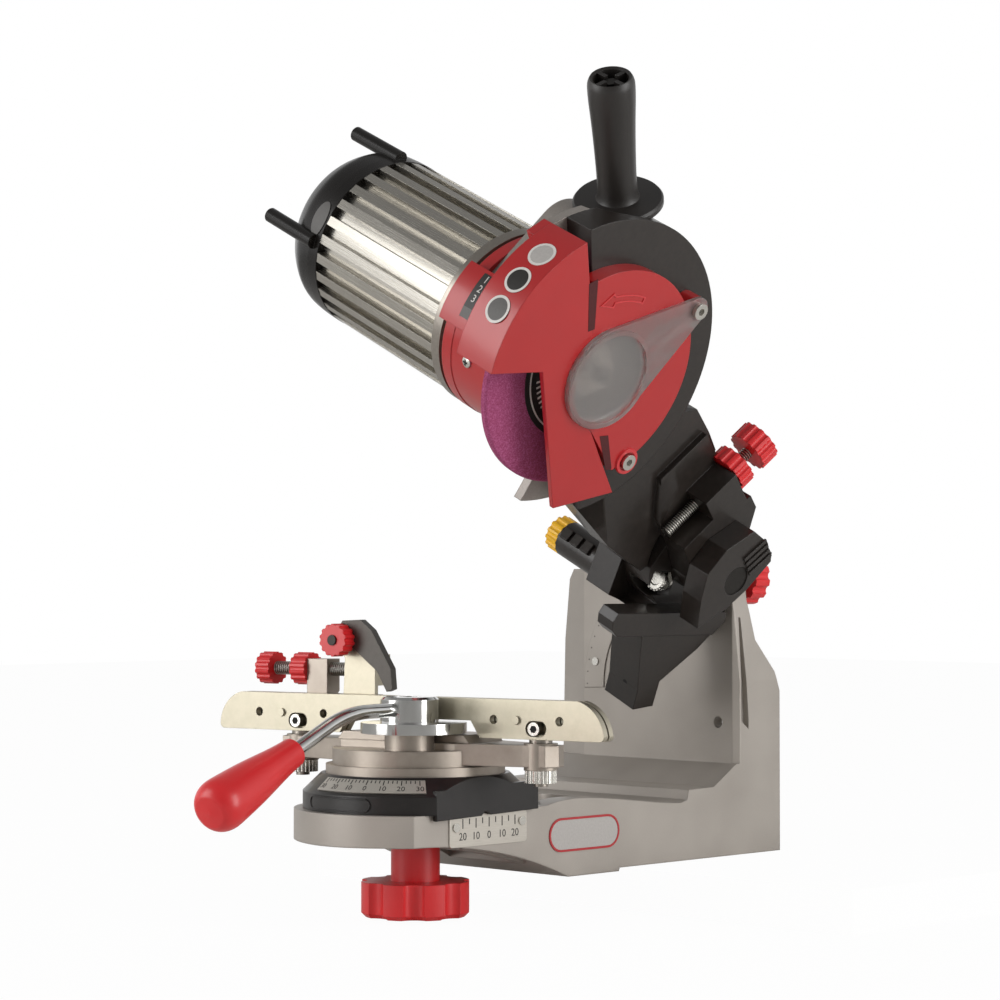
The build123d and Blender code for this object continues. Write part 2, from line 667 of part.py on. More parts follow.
with BuildPart() as window_lens:
    with BuildSketch(WHEEL.offset(cover_face)):
        with Locations(screw_at[0]):
            Circle(7.5)
        Circle(window_r)
        make_hull()
    extrude(amount=2.4)
    with BuildSketch(WHEEL.offset(cover_face)):
        Circle(window_r - 4.4)
    extrude(amount=-4)
    with BuildSketch(WHEEL.offset(cover_face + 2.4)):
        Circle(window_r - 1)
        Circle(window_r - 3.5, mode=Mode.SUBTRACT)
    extrude(amount=1.6)
    bore_through(WHEEL.offset(cover_face - 1), 2.5, 10, at=screw_at[0])
save(window_lens, "window_lens")

with BuildPart() as cover_screws:
    for spot, seat in ((screw_at[0], cover_face + 2.4), (screw_at[1], cover_face)):
        cylinder(WHEEL.offset(arm_out), 2.5, seat - arm_out, at=spot)
        cylinder(WHEEL.offset(seat), 4.8, 3, at=spot)
        with BuildSketch(WHEEL.offset(seat + 3)):
            with Locations(spot):
                RegularPolygon(2.3, 6)
        extrude(amount=-2, mode=Mode.SUBTRACT)
save(cover_screws, "cover_screws")

# ======================================================================
# motor on the arm
# ======================================================================
collar_r = 55.0
collar_back = -58.0
flange_back = motor_front
sleeve_from = 180           # red sleeve under the drum, angle and sweep
sleeve_sweep = 160
fins = 28
fin_t = 5.6
fin_root = 48.5
shell_bore = 44.0
cap_back = -216.0
pegs = (4, 98, 184, 278)
peg_r = 54.0

with BuildPart() as motor_collar:
    with BuildSketch(WHEEL.offset(collar_back)):
        Circle(collar_r)
        Circle(housing_r - 6, mode=Mode.SUBTRACT)
    extrude(amount=housing_back - collar_back)
    with BuildSketch(WHEEL.offset(collar_back)):
        with BuildLine():
            box_arc = CenterArc((0, 0), 62, 146, 34)
            root_arc = CenterArc((0, 0), housing_r + 0.6, 146, 34)
            Line(box_arc @ 0, root_arc @ 0)
            Line(box_arc @ 1, root_arc @ 1)
        make_face()
    extrude(amount=-14 - collar_back)
    with BuildSketch(WHEEL.offset(housing_back)):
        with BuildLine():
            outer_arc = CenterArc((0, 0), housing_r + 2.6, sleeve_from, sleeve_sweep)
            root_arc = CenterArc((0, 0), housing_r + 0.6, sleeve_from, sleeve_sweep)
            Line(outer_arc @ 0, root_arc @ 0)
            Line(outer_arc @ 1, root_arc @ 1)
        make_face()
    extrude(amount=-16 - free - housing_back)
    with BuildSketch(Plane(origin=WHEEL.from_local_coords((polar(62, 163)[0], polar(62, 163)[1], -38)),
                           x_dir=NORMAL, z_dir=WHEEL.from_local_coords(polar(1, 163) + (0,))
                           - WHEEL.origin)):
        Rectangle(11, 24)
    extrude(amount=-1.2, mode=Mode.SUBTRACT)
save(motor_collar, "motor_collar")

with BuildPart() as motor_flange:
    cylinder(WHEEL.offset(flange_back), motor_r + 1.5, 7, 30)
    cylinder(WHEEL.offset(flange_back + 7), motor_r - 1, collar_back - flange_back - 7, 30)
    bore_through(WHEEL.offset(flange_back - 1), shell_bore, 5)
save(motor_flange, "motor_flange")

with BuildPart() as motor_shell:
    cylinder(WHEEL.offset(motor_back), fin_root, motor_front - motor_back, shell_bore)
    with BuildSketch(WHEEL.offset(motor_back)):
        with PolarLocations((fin_root + motor_r) / 2 - 0.5, fins):
            Rectangle(motor_r - fin_root + 1, fin_t)
    extrude(amount=motor_front - motor_back - 0.5)
save(motor_shell, "motor_shell")

with BuildPart() as motor_end_cap:
    with BuildSketch(Plane(origin=WHEEL.origin, x_dir=NORMAL, z_dir=UP)):
        with BuildLine():
            rim = Polyline((cap_back + 20, 0), (cap_back, 0), (cap_back, 38))
            dome = Spline(rim @ 1, (cap_back + 3, 44.5), (cap_back + 12, 50.5), (motor_back - 8, 53.5),
                          tangents=((0, 1), (1, 0.05)))
            Polyline(dome @ 1, (motor_back, 53.5), (motor_back, 48), (motor_back - 8, 48),
                     (cap_back + 14, 45), (cap_back + 8, 40), (cap_back + 6, 34), (cap_back + 6, 10),
                     (cap_back + 20, 10), rim @ 0)
        make_face()
    revolve(axis=Axis(WHEEL.origin, NORMAL))
    for angle in pegs:
        cylinder(WHEEL.offset(cap_back - 12), 4.5, 44, at=polar(peg_r, angle))
    bore_through(WHEEL.offset(cap_back + 8), 8, 24)
    bore_through(WHEEL.offset(motor_back - 16), 43, 17)
save(motor_end_cap, "motor_end_cap")

with BuildPart() as stator:
    with BuildSketch(WHEEL.offset(-165)):
        Circle(shell_bore)
        Circle(25.4, mode=Mode.SUBTRACT)
        with PolarLocations(32, 12):
            Circle(3.2, mode=Mode.SUBTRACT)
    extrude(amount=72)
save(stator, "stator")

with BuildPart() as spindle_bearings:
    cylinder(WHEEL.offset(-35), 17.5, 11, shaft_d / 2 + run)
    cylinder(WHEEL.offset(cap_back + 10), 8, 9, 5 + run)
save(spindle_bearings, "spindle_bearings")

with BuildPart() as spindle_shaft:
    cylinder(WHEEL.offset(cap_back + 10), 5, 14)
    cylinder(WHEEL.offset(cap_back + 24), shaft_d / 2, -6 - cap_back - 24)
    cylinder(WHEEL.offset(-6), 6, 20)
save(spindle_shaft, "spindle_shaft")

with BuildPart() as rotor_core:
    cylinder(WHEEL.offset(-167), 25, 76, shaft_d / 2)
save(rotor_core, "rotor_core")

with BuildPart() as cooling_fan:
    cylinder(WHEEL.offset(cap_back + 24), 12, 10, shaft_d / 2)
    with BuildSketch(WHEEL.offset(cap_back + 25)):
        with PolarLocations(23, 7):
            Rectangle(26, 2.4)
    extrude(amount=7)
    cylinder(WHEEL.offset(cap_back + 24), 36, 2, 11)
save(cooling_fan, "cooling_fan")

with BuildPart() as wheel_flange:
    cylinder(WHEEL.offset(-6), 20, 6 - wheel_t / 2, 6)
    cylinder(WHEEL.offset(-wheel_t / 2), wheel_bore / 2, wheel_t - 0.4, 6)
save(wheel_flange, "wheel_flange")

with BuildPart() as grinding_wheel:
    with BuildSketch(WHEEL.offset(-wheel_t / 2)):
        Circle(wheel_d / 2)
        Circle(wheel_bore / 2, mode=Mode.SUBTRACT)
    extrude(amount=wheel_t)
    chamfer(grinding_wheel.edges().filter_by(GeomType.CIRCLE).group_by(SortBy.RADIUS)[-1], length=1)
save(grinding_wheel, "grinding_wheel")

with BuildPart() as wheel_label:
    cylinder(WHEEL.offset(wheel_t / 2), label_d / 2, 0.6, 15)
save(wheel_label, "wheel_label")

with BuildPart() as wheel_nut:
    cylinder(WHEEL.offset(wheel_t / 2), 14.9, 2, 6)
    with BuildSketch(WHEEL.offset(wheel_t / 2 + 2)):
        RegularPolygon(11, 6)
        Circle(6, mode=Mode.SUBTRACT)
    extrude(amount=7)
save(wheel_nut, "wheel_nut")

# handle
handle_length = 81.0
with BuildPart() as handle_grip:
    with BuildSketch(Plane(origin=HANDLE.origin, x_dir=NORMAL, z_dir=NORMAL.cross(HANDLE.z_dir))):
        with BuildLine():
            base = Polyline((4, 0), (24.5, 0), (25.6, 1.2), (25.6, 3.6), (24.5, 5), (12.5, 5.6))
            side = Spline(base @ 1, (11.2, 13), (11.4, 32), (12.4, 56), (13.2, 75),
                          (11.5, handle_length), tangents=((-0.6, 1), (-0.4, 0.6)))
            Polyline(side @ 1, (10, handle_length - 1), (9.5, handle_length - 7), (4, handle_length - 7),
                     (4, 0))
        make_face()
    revolve(axis=Axis(HANDLE.origin, HANDLE.z_dir))
    with BuildSketch(HANDLE.offset(handle_length - 7)):
        for turn in (0, 90):
            Rectangle(21, 2.4, rotation=turn)
        Circle(4, mode=Mode.SUBTRACT)
    extrude(amount=6)
save(handle_grip, "handle_grip")

with BuildPart() as handle_stud:
    cylinder(HANDLE.offset(-20), 4, 20 + handle_length - 7)
    with BuildSketch(HANDLE.offset(handle_length - 7)):
        RegularPolygon(3.9, 6)
    extrude(amount=4)
save(handle_stud, "handle_stud")

# switch and cable gland on the far side of the motor
switch_angle = 8
switch_s = -126.0
SWITCH = Plane(origin=WHEEL.from_local_coords(polar(motor_r + 0.2, switch_angle) + (switch_s,)), x_dir=NORMAL,
               z_dir=WHEEL.from_local_coords(polar(1, switch_angle) + (0,)) - WHEEL.origin)
with BuildPart() as switch_box:
    with BuildSketch(SWITCH.offset(5)):
        RectangleRounded(64, 38, 5)
    extrude(amount=22)
    with BuildSketch(SWITCH):
        Rectangle(46, 24)
    extrude(amount=5)
    with BuildSketch(SWITCH.offset(27)):
        Rectangle(30, 13.6)
    extrude(amount=-12, mode=Mode.SUBTRACT)
save(switch_box, "switch_box")

rocker_axis_depth = 19.0
with BuildPart() as switch_rocker:
    with BuildSketch(Plane(origin=SWITCH.origin, x_dir=NORMAL, z_dir=NORMAL.cross(SWITCH.z_dir))):
        with BuildLine():
            Polyline((-10, rocker_axis_depth + 3), (-11.5, 30.5), (0, 27.6), (11.5, 29),
                     (10, rocker_axis_depth + 3), (4, rocker_axis_depth - 3), (-4, rocker_axis_depth - 3), close=True)
        make_face()
    extrude(amount=6.4, both=True)
    cylinder(Plane(origin=SWITCH.from_local_coords((0, -6.7, rocker_axis_depth)), x_dir=NORMAL,
                   z_dir=SWITCH.y_dir), 2, 13.4)
save(switch_rocker, "switch_rocker")

with BuildPart() as cord_gland:
    gland_plane = Plane(origin=SWITCH.from_local_coords((-32, 0, 16)), x_dir=(0, 1, 0), z_dir=NORMAL * -1)
    cylinder(gland_plane, 9, 5, 3.6)
    cylinder(gland_plane.offset(5), 6.5, 12, 3.6)
save(cord_gland, "cord_gland")

# depth stop on the arm
with BuildPart() as depth_stop_screw:
    cylinder(STOP, stop_screw_d / 2, 84)
save(depth_stop_screw, "depth_stop_screw")

with BuildPart() as depth_stop_lock_nut:
    grip_knob(STOP.offset(53), 13.5, 10, 14, 2.2, stop_screw_d / 2 + run)
save(depth_stop_lock_nut, "depth_stop_lock_nut")

with BuildPart() as depth_stop_knob:
    grip_knob(STOP.offset(72), 13.5, 12, 14, 2.2, stop_screw_d / 2 + run)
save(depth_stop_knob, "depth_stop_knob")

# ======================================================================
# vise carriage
# ======================================================================
turntable_r = 52.0
apron_in = side_x + 1.2
apron_out = side_x + 4.2
spigot_r = 9.0

with BuildPart() as vise_base_ring:
    with BuildSketch(Plane.XZ.offset(-vise_y)):
        with BuildLine():
            Polyline((0, platform_top), (ring_r, platform_top), (ring_r, 50), (54, ring_top), (0, ring_top),
                     close=True)
        make_face()
    revolve(axis=Axis((0, vise_y, 0), (0, 0, 1)))
    with BuildSketch(Plane.XY.offset(platform_top - 1)):
        with Locations((apron_out + 50, vise_y)):
            Rectangle(100, 200)
    extrude(amount=40, mode=Mode.SUBTRACT)
    # inclined apron beside the stand
    with BuildSketch(Plane.YZ.offset(apron_in)):
        with BuildLine():
            Polyline((-230, 36.8), (-150, 39.4), (-150, 55.6), (-230, 53.4), close=True)
        make_face()
        with BuildLine():
            Polyline((-197, 36), (-191.5, 42), (-186, 36), close=True)
        make_face(mode=Mode.SUBTRACT)
    extrude(amount=apron_out - apron_in)
    with BuildSketch(Plane.XY.offset(platform_top + 3)):
        with Locations((apron_in - 7, vise_y + 8)):
            Rectangle(16, 66)
    extrude(amount=10)
    bore_through(Plane.XY.offset(platform_top - 1), vise_bolt_d / 2, 40, at=(0, vise_y))
    # bed of the scale plate
    with BuildSketch(Plane.XY.offset(ring_top)):
        with Locations((0, vise_y)):
            Circle(turntable_r - 0.4)
            Circle(spigot_r, mode=Mode.SUBTRACT)
    extrude(amount=-1, mode=Mode.SUBTRACT)
save(vise_base_ring, "vise_base_ring")

with BuildPart() as vise_clamp_bolt:
    cylinder(Plane.XY.offset(ring_top), spigot_r, 5, at=(0, vise_y))
    cylinder(Plane.XY.offset(-19), vise_bolt_d / 2, ring_top + 19, at=(0, vise_y))
save(vise_clamp_bolt, "vise_clamp_bolt")

knob_drop = 22.0            # bottom of the lock knob, below the bench plane
with BuildPart() as vise_lock_knob:
    foot_plane = Plane(origin=(0, vise_y, -knob_drop), x_dir=(1, 0, 0), z_dir=(0, 0, 1))
    grip_knob(foot_plane, 31.3, knob_drop - 2, 8, 7.0, 0)
    chamfer(vise_lock_knob.faces().sort_by(Axis.Z)[0].edges(), length=2.4)
    cylinder(foot_plane.offset(knob_drop - 2), stem_r, seat_z + 2)
    bore_through(foot_plane.offset(3), vise_bolt_d / 2 + run, seat_z + knob_drop)
save(vise_lock_knob, "vise_lock_knob")

# ======================================================================
# vise
# ======================================================================
post_u = (-82.0, 86.0)
ear_low = 64.0
ear_high = 78.0
nut_low = 57.0
head_r = 3.8                # socket heads in the slots of the front rail
head_slot = 5.0
bridge = (-45.0, 42.0)      # stretch where the rails arch over the clamp disc
rail_holes = (-111.0, -63.0, 57.6, 101.6)
rail_bumps = (-94.0, 73.0)
disc_r = 30.0
disc_off = 4.0              # the clamp disc is an eccentric about the lever's pivot
disc_z = 83.5               # underside of the clamp disc
drum_top = 74.0
rail_face = chain_gap / 2   # inner face of each rail, from the chain plane

with BuildPart() as vise_body:
    with BuildSketch(VISE.offset(ring_top - 1)):
        Circle(turntable_r - 0.4 - free)
        Circle(spigot_r + 0.1, mode=Mode.SUBTRACT)
    extrude(amount=6)
    cylinder(VISE.offset(ring_top + 5), 47.5, drum_top - ring_top - 5, spigot_r + 0.1)
    # saddle under the rails, and the neck of the clamp disc
    with BuildSketch(vise_front(22)):
        with BuildLine():
            Polyline((-52, drum_top - 2), (-43, disc_z - 1), (42, disc_z - 1), (50, drum_top - 2), close=True)
        make_face()
    extrude(amount=34)
    cylinder(Plane(origin=VISE.from_local_coords((lever_u, lever_w, drum_top - 2)), z_dir=(0, 0, 1)), 14,
             disc_z - drum_top + 2)
    # arms with the ears that carry the rail posts
    with BuildSketch(VISE.offset(ear_low + 2)):
        with BuildLine():
            Polyline((-90, 9), (-82, 11), (-40, 26), (40, 26), (86, 11), (96, 8), (98, 0), (94, -8),
                     (80, -10), (40, -18), (-40, -18), (-76, -9), (-90, -9), (-94, 0), close=True)
        make_face()
    extrude(amount=ear_high - ear_low - 2)
    for u in post_u:
        cylinder(VISE.offset(ear_low), 9.5, ear_high - ear_low + 1, at=(u, 0))
        bore_through(VISE.offset(ear_low - 1), 4, 30, at=(u, 0))
    with BuildSketch(VISE.offset(ring_top - 1)):
        Circle(spigot_r + 0.1)
    extrude(amount=6.3, mode=Mode.SUBTRACT)
    bore_through(VISE.offset(disc_z - 8), 4, 10, at=(lever_u, lever_w))
save(vise_body, "vise_body")

with BuildPart() as rail_posts:
    for u in post_u:
        cylinder(VISE.offset(nut_low - 2), 4, body_top - nut_low + 2, at=(u, 0))
        cylinder(VISE.offset(ear_high + 1), 6.5, body_top - ear_high - 1, at=(u, 0))
save(rail_posts, "rail_posts")


def rail_profile(slot, screw_r):
    """Outline of a guide rail in its own upright plane, with its holes."""
    with BuildSketch(vise_front(0)) as profile:
        with BuildLine():
            toe = 3.0
            Polyline((rail_left + toe, body_top), (bridge[0] - 6, body_top), (bridge[0], body_top + 9.5),
                     (bridge[1], body_top + 9.5), (bridge[1] + 6, body_top), (rail_right - toe, body_top))
            ThreePointArc((rail_right - toe, body_top), (rail_right - 0.9, body_top + 0.9),
                          (rail_right, body_top + toe))
            ThreePointArc((rail_right, body_top + toe), (rail_right - 5, rail_top - 7.5),
                          (rail_right - 17, rail_top))
            Line((rail_right - 17, rail_top), (rail_left + 16, rail_top))
            ThreePointArc((rail_left + 16, rail_top), (rail_left + 4.5, rail_top - 7),
                          (rail_left, body_top + toe))
            ThreePointArc((rail_left, body_top + toe), (rail_left + 0.9, body_top + 0.9),
                          (rail_left + toe, body_top))
        make_face()
        with Locations(*[(u, 91.5) for u in rail_holes]):
            Circle(2.6, mode=Mode.SUBTRACT)
        with Locations(*[(u, 87) for u in post_u]):
            SlotCenterToCenter(slot, 2 * screw_r, mode=Mode.SUBTRACT)
    return profile.sketch


with BuildPart() as rear_rail:
    extrude(rail_profile(free, 3.0), amount=-(rail_face + rail_t), dir=vise_front(0).z_dir)
    with BuildSketch(vise_front(0)):
        with Locations((0, 90)):
            Rectangle(400, 60)
    extrude(amount=-rail_face, mode=Mode.SUBTRACT)
save(rear_rail, "rear_rail")

with BuildPart() as front_rail:
    extrude(rail_profile(head_slot, head_r + 2 * free), amount=rail_face + rail_t, dir=vise_front(0).z_dir)
    with BuildSketch(vise_front(0)):
        with Locations((0, 90)):
            Rectangle(400, 60)
    extrude(amount=rail_face, mode=Mode.SUBTRACT)
    for u in rail_bumps:
        cylinder(vise_front(-rail_face - rail_t), 2.4, 1.4, at=(u, 91.5))
save(front_rail, "front_rail")

with BuildPart() as rail_screws:
    for u in post_u:
        cylinder(vise_front(rail_face + rail_t + 4), 3, 2 * (rail_face + rail_t) + 4, at=(u, 87))
        cylinder(vise_front(-rail_face), head_r, rail_t + 2.6, at=(u, 87))
        with BuildSketch(vise_front(rail_face + rail_t + 4)):
            with Locations((u, 87)):
                RegularPolygon(5.6, 6)
        extrude(amount=4)
save(rail_screws, "rail_screws")

for side, u in (("left", post_u[0]), ("right", post_u[1])):
    with BuildPart() as post_nut:
        nut_plane = Plane(origin=VISE.from_local_coords((u, 0, nut_low)), x_dir=ALONG, z_dir=(0, 0, 1))
        grip_knob(nut_plane, 8.9, ear_low - nut_low, 24, 0.8, 4 + run)
    save(post_nut, f"post_nut_{side}")

# clamp lever with its eccentric hub
LEVER = Plane(origin=VISE.from_local_coords((lever_u, lever_w, 0)), x_dir=ALONG, z_dir=(0, 0, 1))
DOWN_FRONT = ACROSS * -1
lever_plane = Plane(origin=LEVER.origin, x_dir=DOWN_FRONT, z_dir=ALONG * -1)
rod_z = 97.0
hub_top = 104.0
hub_top_r = 16.5
grip_from = (105, 78.0)     # ends of the grip: out from the pivot, and up
grip_to = (172, 51.0)
grip_fall = (grip_from[1] - grip_to[1]) / (grip_to[0] - grip_from[0])
with BuildPart() as clamp_lever_hub:
    cylinder(LEVER.offset(disc_z), disc_r, 6, at=(0, disc_off))
    cylinder(LEVER.offset(disc_z + 6), hub_top_r, hub_top - disc_z - 6)
    chamfer(clamp_lever_hub.edges().filter_by(GeomType.CIRCLE).sort_by(Axis.Z)[-1], length=1.5)
    cylinder(LEVER.offset(disc_z - 6), 4 - run, 6)
    bore_through(Plane(origin=lever_plane.from_local_coords((8, rod_z, 0)), z_dir=DOWN_FRONT), 4, 14)
    with BuildSketch(LEVER.offset(hub_top)):
        RegularPolygon(7, 6)
    extrude(amount=-5, mode=Mode.SUBTRACT)
save(clamp_lever_hub, "clamp_lever_hub")

with BuildPart() as lever_rod:
    with BuildLine(lever_plane) as rod_path:
        root = Line((8, rod_z), (38, rod_z))
        drop = Line(grip_from, (grip_from[0] - 30, grip_from[1] + 30 * grip_fall))
        Spline(root @ 1, drop @ 1, tangents=(root % 1, drop % 1 * -1))
    with BuildSketch(Plane(origin=root @ 0, z_dir=root % 0)):
        Circle(4)
    sweep(path=rod_path.line)
save(lever_rod, "lever_rod")

grip_start = lever_plane.from_local_coords((*grip_from, 0))
grip_end = lever_plane.from_local_coords((*grip_to, 0))
GRIP = Plane(origin=grip_start, x_dir=ALONG, z_dir=grip_end - grip_start)
with BuildPart() as lever_grip:
    with BuildSketch(Plane(origin=GRIP.origin, x_dir=GRIP.y_dir, z_dir=GRIP.y_dir.cross(GRIP.z_dir))):
        with BuildLine():
            base = Line((0, 0), (8, 0))
            side = Spline(base @ 1, (9.2, 14), (12, 36), (14, 58), (13.2, 68), (8.5, 73),
                          tangents=((0.05, 1), (-1, 0.3)))
            Polyline(side @ 1, (0, 74), base @ 0)
        make_face()
    revolve(axis=Axis(GRIP.origin, GRIP.z_dir))
save(lever_grip, "lever_grip")

# ======================================================================
# chain stop behind the rails
# ======================================================================
rail_back = rail_face + rail_t
stop_screw_r = 4.0
with BuildPart() as stop_block:
    with BuildSketch(vise_side(-83)):
        with BuildLine():
            Polyline((rail_back, 97), (rail_back + 3, 97), (stop_w + 6, 104), (stop_w + 6, 123),
                     (rail_back, 123), close=True)
        make_face()
    extrude(amount=15)
    with BuildSketch(vise_front(rail_back)):
        with BuildLine():
            Polyline((-83, 92), (-30, 92), (-30, rail_top), (-68, rail_top), (-68, 110), (-83, 110),
                     close=True)
        make_face()
    extrude(amount=-4)
    bore_through(vise_side(-84), stop_screw_r + run, 20, at=(stop_w, stop_z))
save(stop_block, "stop_block")

with BuildPart() as stop_screw:
    cylinder(vise_side(-118), stop_screw_r, 68, at=(stop_w, stop_z))
save(stop_screw, "stop_screw")

with BuildPart() as stop_knob:
    stop_knob_plane = Plane(origin=vise_side(-120).from_local_coords((stop_w, stop_z, 0)), x_dir=ACROSS,
                            z_dir=ALONG)
    grip_knob(stop_knob_plane, 9.6, 10, 14, 1.6, 0)
    bore_through(stop_knob_plane.offset(2), stop_screw_r, 12)
save(stop_knob, "stop_knob")

with BuildPart() as stop_lock_nut:
    grip_knob(stop_knob_plane.offset(26), 9.6, 11, 14, 1.6, stop_screw_r + run)
save(stop_lock_nut, "stop_lock_nut")

pawl_pivot = (-53.5, 134.5)
pawl_front = 5.2            # the pawl hangs in front of the bracket, over the chain
with BuildPart() as pawl_bracket:
    with BuildSketch(vise_front(pawl_front)):
        with BuildLine():
            Polyline((-56, rail_top), (-33, rail_top), (-33, 120), (-40, 140), (-52, 143), (-60, 140),
                     (-61.5, 131), (-55, 124), close=True)
        make_face()
    extrude(amount=-3)
    with BuildSketch(vise_side(-55)):
        with BuildLine():
            Polyline((pawl_front, 108), (20, 108), (20, 126), (pawl_front, 126), close=True)
        make_face()
    extrude(amount=22)
    bore_through(vise_side(-56), stop_screw_r + run, 14, at=(stop_w, stop_z))
    bore_through(vise_front(pawl_front + 4), 3, 6, at=pawl_pivot)
save(pawl_bracket, "pawl_bracket")

with BuildPart() as pawl_pin:
    cylinder(vise_front(pawl_front + 3), 3, 18, at=pawl_pivot)
save(pawl_pin, "pawl_pin")

with BuildPart() as chain_pawl:
    with BuildSketch(vise_front(pawl_front)):
        with Locations(pawl_pivot):
            Circle(6.5)
        with BuildLine():
            Polyline((-59, 138), (-53, 145.8), (-40, 146.4), (-32, 140.4), (-18, 118.3), (-16.9, 106.5),
                     (-20.9, 105), (-27.8, 116.6), (-45.8, 130.2), close=True)
        make_face()
        with Locations(pawl_pivot):
            Circle(3 + run, mode=Mode.SUBTRACT)
    extrude(amount=5)
save(chain_pawl, "chain_pawl")

with BuildPart() as pawl_knob:
    pawl_knob_plane = Plane(origin=vise_front(pawl_front - 5).from_local_coords((*pawl_pivot, 0)),
                            x_dir=ALONG, z_dir=ACROSS * -1)
    grip_knob(pawl_knob_plane, 9.6, 9, 14, 1.6, 3 + run)
save(pawl_knob, "pawl_knob")

# ======================================================================
# scale plate on the vise ring
# ======================================================================
plate_start = math.radians(-104)
plate_plane = Plane(origin=(0, vise_y, 0), x_dir=(math.cos(plate_start), math.sin(plate_start), 0),
                    z_dir=(math.sin(plate_start), -math.cos(plate_start), 0))
with BuildPart() as angle_scale_plate:
    with BuildSketch(plate_plane):
        with BuildLine():
            Polyline((62.6, 51.8), (55.8, 58.34), (56.35, 58.9), (63.15, 52.36), close=True)
        make_face()
    revolve(axis=Axis((0, vise_y, 0), (0, 0, 1)), revolution_arc=66)
save(angle_scale_plate, "angle_scale_plate")
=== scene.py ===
"""Looks of the bench chain sharpener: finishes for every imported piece, and the small trim that rides with them."""

import math

import bmesh
import bpy
from mathutils import Matrix, Vector


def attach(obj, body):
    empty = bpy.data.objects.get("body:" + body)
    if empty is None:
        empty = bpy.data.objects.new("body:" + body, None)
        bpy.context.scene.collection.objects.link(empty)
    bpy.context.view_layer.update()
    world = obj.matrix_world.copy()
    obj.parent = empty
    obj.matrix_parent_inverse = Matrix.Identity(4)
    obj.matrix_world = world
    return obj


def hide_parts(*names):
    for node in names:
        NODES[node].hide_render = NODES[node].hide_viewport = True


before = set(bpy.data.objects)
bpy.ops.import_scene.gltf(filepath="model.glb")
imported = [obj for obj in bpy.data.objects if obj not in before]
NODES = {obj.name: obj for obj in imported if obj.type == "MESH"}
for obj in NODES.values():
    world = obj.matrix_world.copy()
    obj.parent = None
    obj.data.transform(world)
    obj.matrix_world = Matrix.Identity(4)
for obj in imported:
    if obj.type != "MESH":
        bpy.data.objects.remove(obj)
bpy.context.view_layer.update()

MM = 0.001

# ---------------------------------------------------------------- directions that the pieces share

LEAN = math.radians(26.3)  # the head leans this far over the wheel side
HEAD_ORIGIN = Vector((0, 0, 102.2)) * MM
ACROSS = Vector((math.cos(LEAN), 0, -math.sin(LEAN)))  # along the motor shaft, towards the wheel
UP = Vector((math.sin(LEAN), 0, math.cos(LEAN)))  # up the leaning arm
BACK = Vector((0, 1, 0))  # away from the operator
WHEEL_Y, WHEEL_H = -154.5, 210.7  # the wheel's centre in the head

VISE_TURN = math.radians(10.5)
VISE_ORIGIN = Vector((0, -195, 0)) * MM
VISE_U = Vector((math.cos(VISE_TURN), math.sin(VISE_TURN), 0))  # along the rails
VISE_W = Vector((-math.sin(VISE_TURN), math.cos(VISE_TURN), 0))  # across the rails, to the back
Z = Vector((0, 0, 1))


def head(s, y, h):
    """A point of the leaning head, from millimetres along the shaft, back, and up the arm."""
    return HEAD_ORIGIN + (ACROSS * s + BACK * y + UP * h) * MM


def on_wheel(radius, degrees, s):
    """A point round the wheel's axis; 0 degrees points to the back and 90 up the arm."""
    a = math.radians(degrees)
    return head(s, WHEEL_Y + radius * math.cos(a), WHEEL_H + radius * math.sin(a))


def vise(u, w, z):
    """A point of the turned vise, from millimetres along the rails, across them and up."""
    return VISE_ORIGIN + (VISE_U * u + VISE_W * w + Z * z) * MM


def seat(origin, x_axis, z_axis):
    """The matrix of a piece drawn flat: its x along x_axis, its z out along z_axis."""
    z = Vector(z_axis).normalized()
    x = (Vector(x_axis) - z * Vector(x_axis).dot(z)).normalized()
    y = z.cross(x)
    return Matrix(((x.x, y.x, z.x, origin.x), (x.y, y.y, z.y, origin.y), (x.z, y.z, z.z, origin.z), (0, 0, 0, 1)))


# ---------------------------------------------------------------- finishes


def srgb(code):
    """Turns an sRGB hex colour to the linear colour that a shader takes."""
    parts = [int(code[i:i + 2], 16) / 255 for i in (1, 3, 5)]
    return tuple(p / 12.92 if p <= 0.04045 else ((p + 0.055) / 1.055) ** 2.4 for p in parts) + (1.0,)


def add(tree, kind, settings=None, **inputs):
    """Adds a node: settings are its own properties; inputs, by name or by i0, i1... are values or sockets to link."""
    made = tree.nodes.new(kind)
    for name, value in (settings or {}).items():
        setattr(made, name, value)
    for name, value in inputs.items():
        key = int(name[1:]) if name[0] == "i" and name[1:].isdigit() else name.replace("_", " ")
        if isinstance(value, bpy.types.NodeSocket):
            tree.links.new(value, made.inputs[key])
        else:
            made.inputs[key].default_value = value
    return made


def per(millimetres):
    """The noise scale whose features are that many millimetres apart."""
    return 1000 / millimetres


def begin(name, roughness, metallic=0.0, **sockets):
    """A new finish: its tree, its shader and the position on the object in metres."""
    material = bpy.data.materials.new(name)
    material.use_nodes = True
    tree = material.node_tree
    tree.nodes.clear()
    shader = add(tree, "ShaderNodeBsdfPrincipled", Roughness=roughness, Metallic=metallic, **sockets)
    output = add(tree, "ShaderNodeOutputMaterial", Surface=shader.outputs[0])
    output.is_active_output = True
    place = add(tree, "ShaderNodeTexCoord").outputs["Object"]
    return material, tree, shader, place


def tint(tree, shader, factor, low, high):
    """Colours the surface between two hex colours by factor, 0 to 1."""
    ramp = add(tree, "ShaderNodeMix", {"data_type": "RGBA"}, i0=factor, i6=srgb(low), i7=srgb(high))
    tree.links.new(ramp.outputs[2], shader.inputs["Base Color"])


def vary(tree, shader, socket, factor, low, high):
    """Lets one of the shader's values run from low to high by factor."""
    span = add(tree, "ShaderNodeMapRange", i0=factor, i3=low, i4=high)
    tree.links.new(span.outputs[0], shader.inputs[socket])


